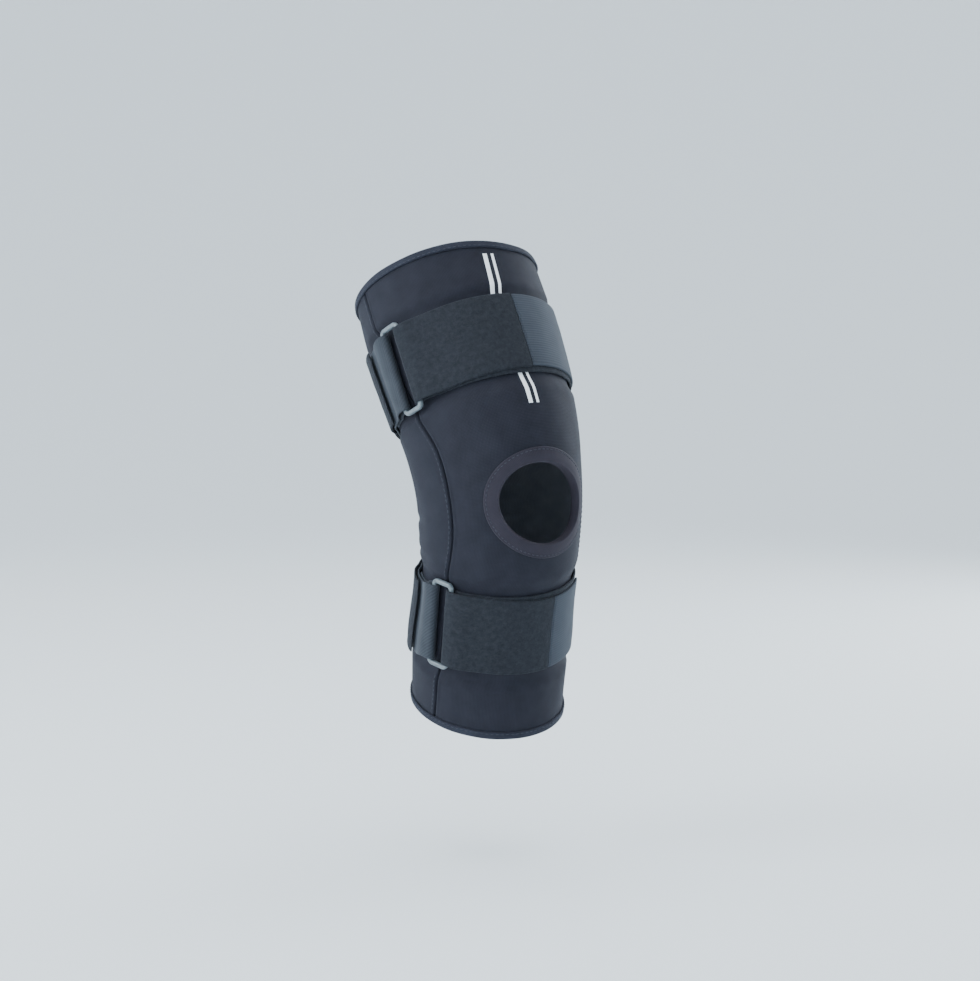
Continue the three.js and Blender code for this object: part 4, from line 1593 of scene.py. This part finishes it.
@dataclass
class Studio:
    """A pale bowl of a room, soft lights and the camera at the picture's angle."""

    floor_drop: float = 250.0
    floor_hub: float = 40.0
    floor_reach: float = 2600.0
    floor_rings: int = 8
    cove_rings: int = 16
    cove_share: float = 0.6
    wall_reach: float = 5200.0
    wall_height: float = 4200.0
    room_sides: int = 64
    room_colour: tuple[float, float, float] = (0.868, 0.922, 0.955)
    window_colour: tuple[float, float, float] = (0.9, 0.96, 1.0)
    lamp_colour: tuple[float, float, float] = (1.0, 1.0, 1.0)
    sky_colour: tuple[float, float, float] = (0.86, 0.91, 0.96)
    sky_strength: float = 1.3
    camera_place: tuple[float, float, float] = (-633.4, -1028.1, 81.0)
    camera_way: tuple[float, float, float] = (0.5198, 0.8516, -0.068)
    focal_pixels: float = 1860.0
    picture_height: float = 981.0

    def room(self) -> None:
        """Builds the pale floor that curves up into a wall all round."""
        climb = np.linspace(0, math.pi / 2, self.cove_rings)
        span = self.wall_reach - self.floor_reach
        floor = np.linspace(self.floor_hub, self.floor_reach, self.floor_rings + 1)[:-1]
        reach = np.concatenate([floor, self.floor_reach + span * np.sin(climb), [self.wall_reach]])
        cove = self.wall_height * self.cove_share * (1 - np.cos(climb))
        rise = np.concatenate([np.zeros_like(floor), cove, [self.wall_height]])
        turn = 2 * math.pi * np.arange(self.room_sides) / self.room_sides
        x = reach[:, None] * np.cos(turn)
        y = reach[:, None] * np.sin(turn)
        z = np.repeat(rise[:, None] - self.floor_drop, self.room_sides, axis=1)
        points = np.stack([x, y, z], axis=2).reshape(-1, 3) * MM
        faces = grid_quads(len(reach), self.room_sides, round_columns=True).tolist()
        faces.append(list(reversed(range(self.room_sides))))
        mesh = bpy.data.meshes.new("pale_room")
        mesh.from_pydata(points.tolist(), [], faces)
        mesh.shade_smooth()
        shader = ClothShader("pale_floor", 0.9)
        shader.surface.inputs["Base Color"].default_value = (*self.room_colour, 1.0)
        shader.surface.inputs["Specular IOR Level"].default_value = 0.1
        mesh.materials.append(shader.material)
        room = bpy.data.objects.new("pale_room", mesh)
        bpy.context.scene.collection.objects.link(room)

    def light(
        self,
        name: str,
        place: tuple[float, float, float],
        size: float,
        power: float,
        colour: tuple[float, float, float],
    ) -> None:
        """Hangs one soft light that faces the support.

        Args:
            name: The light's name.
            place: Where it hangs, in metres.
            size: Its side in metres.
            power: Its strength in watts.
            colour: Its tint.
        """
        lamp = bpy.data.lights.new(name, "AREA")
        lamp.shape = "SQUARE"
        lamp.size = size
        lamp.energy = power
        lamp.color = colour
        holder = bpy.data.objects.new(name, lamp)
        holder.location = place
        holder.rotation_euler = (-Vector(place)).to_track_quat("-Z", "Y").to_euler()
        bpy.context.scene.collection.objects.link(holder)

    def camera(self) -> None:
        """Sets the camera that gives the picture's view."""
        camera = bpy.data.cameras.new("picture_camera")
        camera.sensor_width = 36.0
        camera.lens = 36.0 * self.focal_pixels / self.picture_height
        camera.clip_end = 50.0
        holder = bpy.data.objects.new("picture_camera", camera)
        holder.location = Vector(self.camera_place) * MM
        holder.rotation_euler = Vector(self.camera_way).to_track_quat("-Z", "Y").to_euler()
        bpy.context.scene.collection.objects.link(holder)
        bpy.context.scene.camera = holder

    def build(self) -> None:
        """Builds the room, the lights and the camera."""
        self.camera()
        self.room()
        window, lamp = self.window_colour, self.lamp_colour
        self.light("left_window", (-2.1, 0.35, 0.7), size=1.3, power=52, colour=window)
        self.light("right_window", (1.7, 0.1, 0.5), size=1.2, power=24, colour=window)
        self.light("front_fill", (-1.2, -2.2, 1.3), size=1.8, power=5, colour=lamp)
        self.light("top_soft", (0.0, 0.0, 2.6), size=2.2, power=24, colour=lamp)
        world = bpy.data.worlds.new("pale_sky")
        world.use_nodes = True
        sky = world.node_tree.nodes["Background"]
        sky.inputs["Color"].default_value = (*self.sky_colour, 1.0)
        sky.inputs["Strength"].default_value = self.sky_strength
        bpy.context.scene.world = world


def main() -> None:
    """Builds the support and its studio, and reports each piece."""
    logging.basicConfig(level=logging.INFO, format="%(name)s: %(message)s")
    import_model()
    leg = LegForm()
    wardrobe = Wardrobe()
    Studio().build()
    assemblies = [Sleeve(leg, wardrobe), *(Fastening(fold, leg, wardrobe) for fold in FOLDS)]
    for assembly in assemblies:
        for piece in assembly.build():
            LOG.info("%s: %d faces", piece.name, len(piece.data.polygons))


if __name__ == "__main__":
    main()
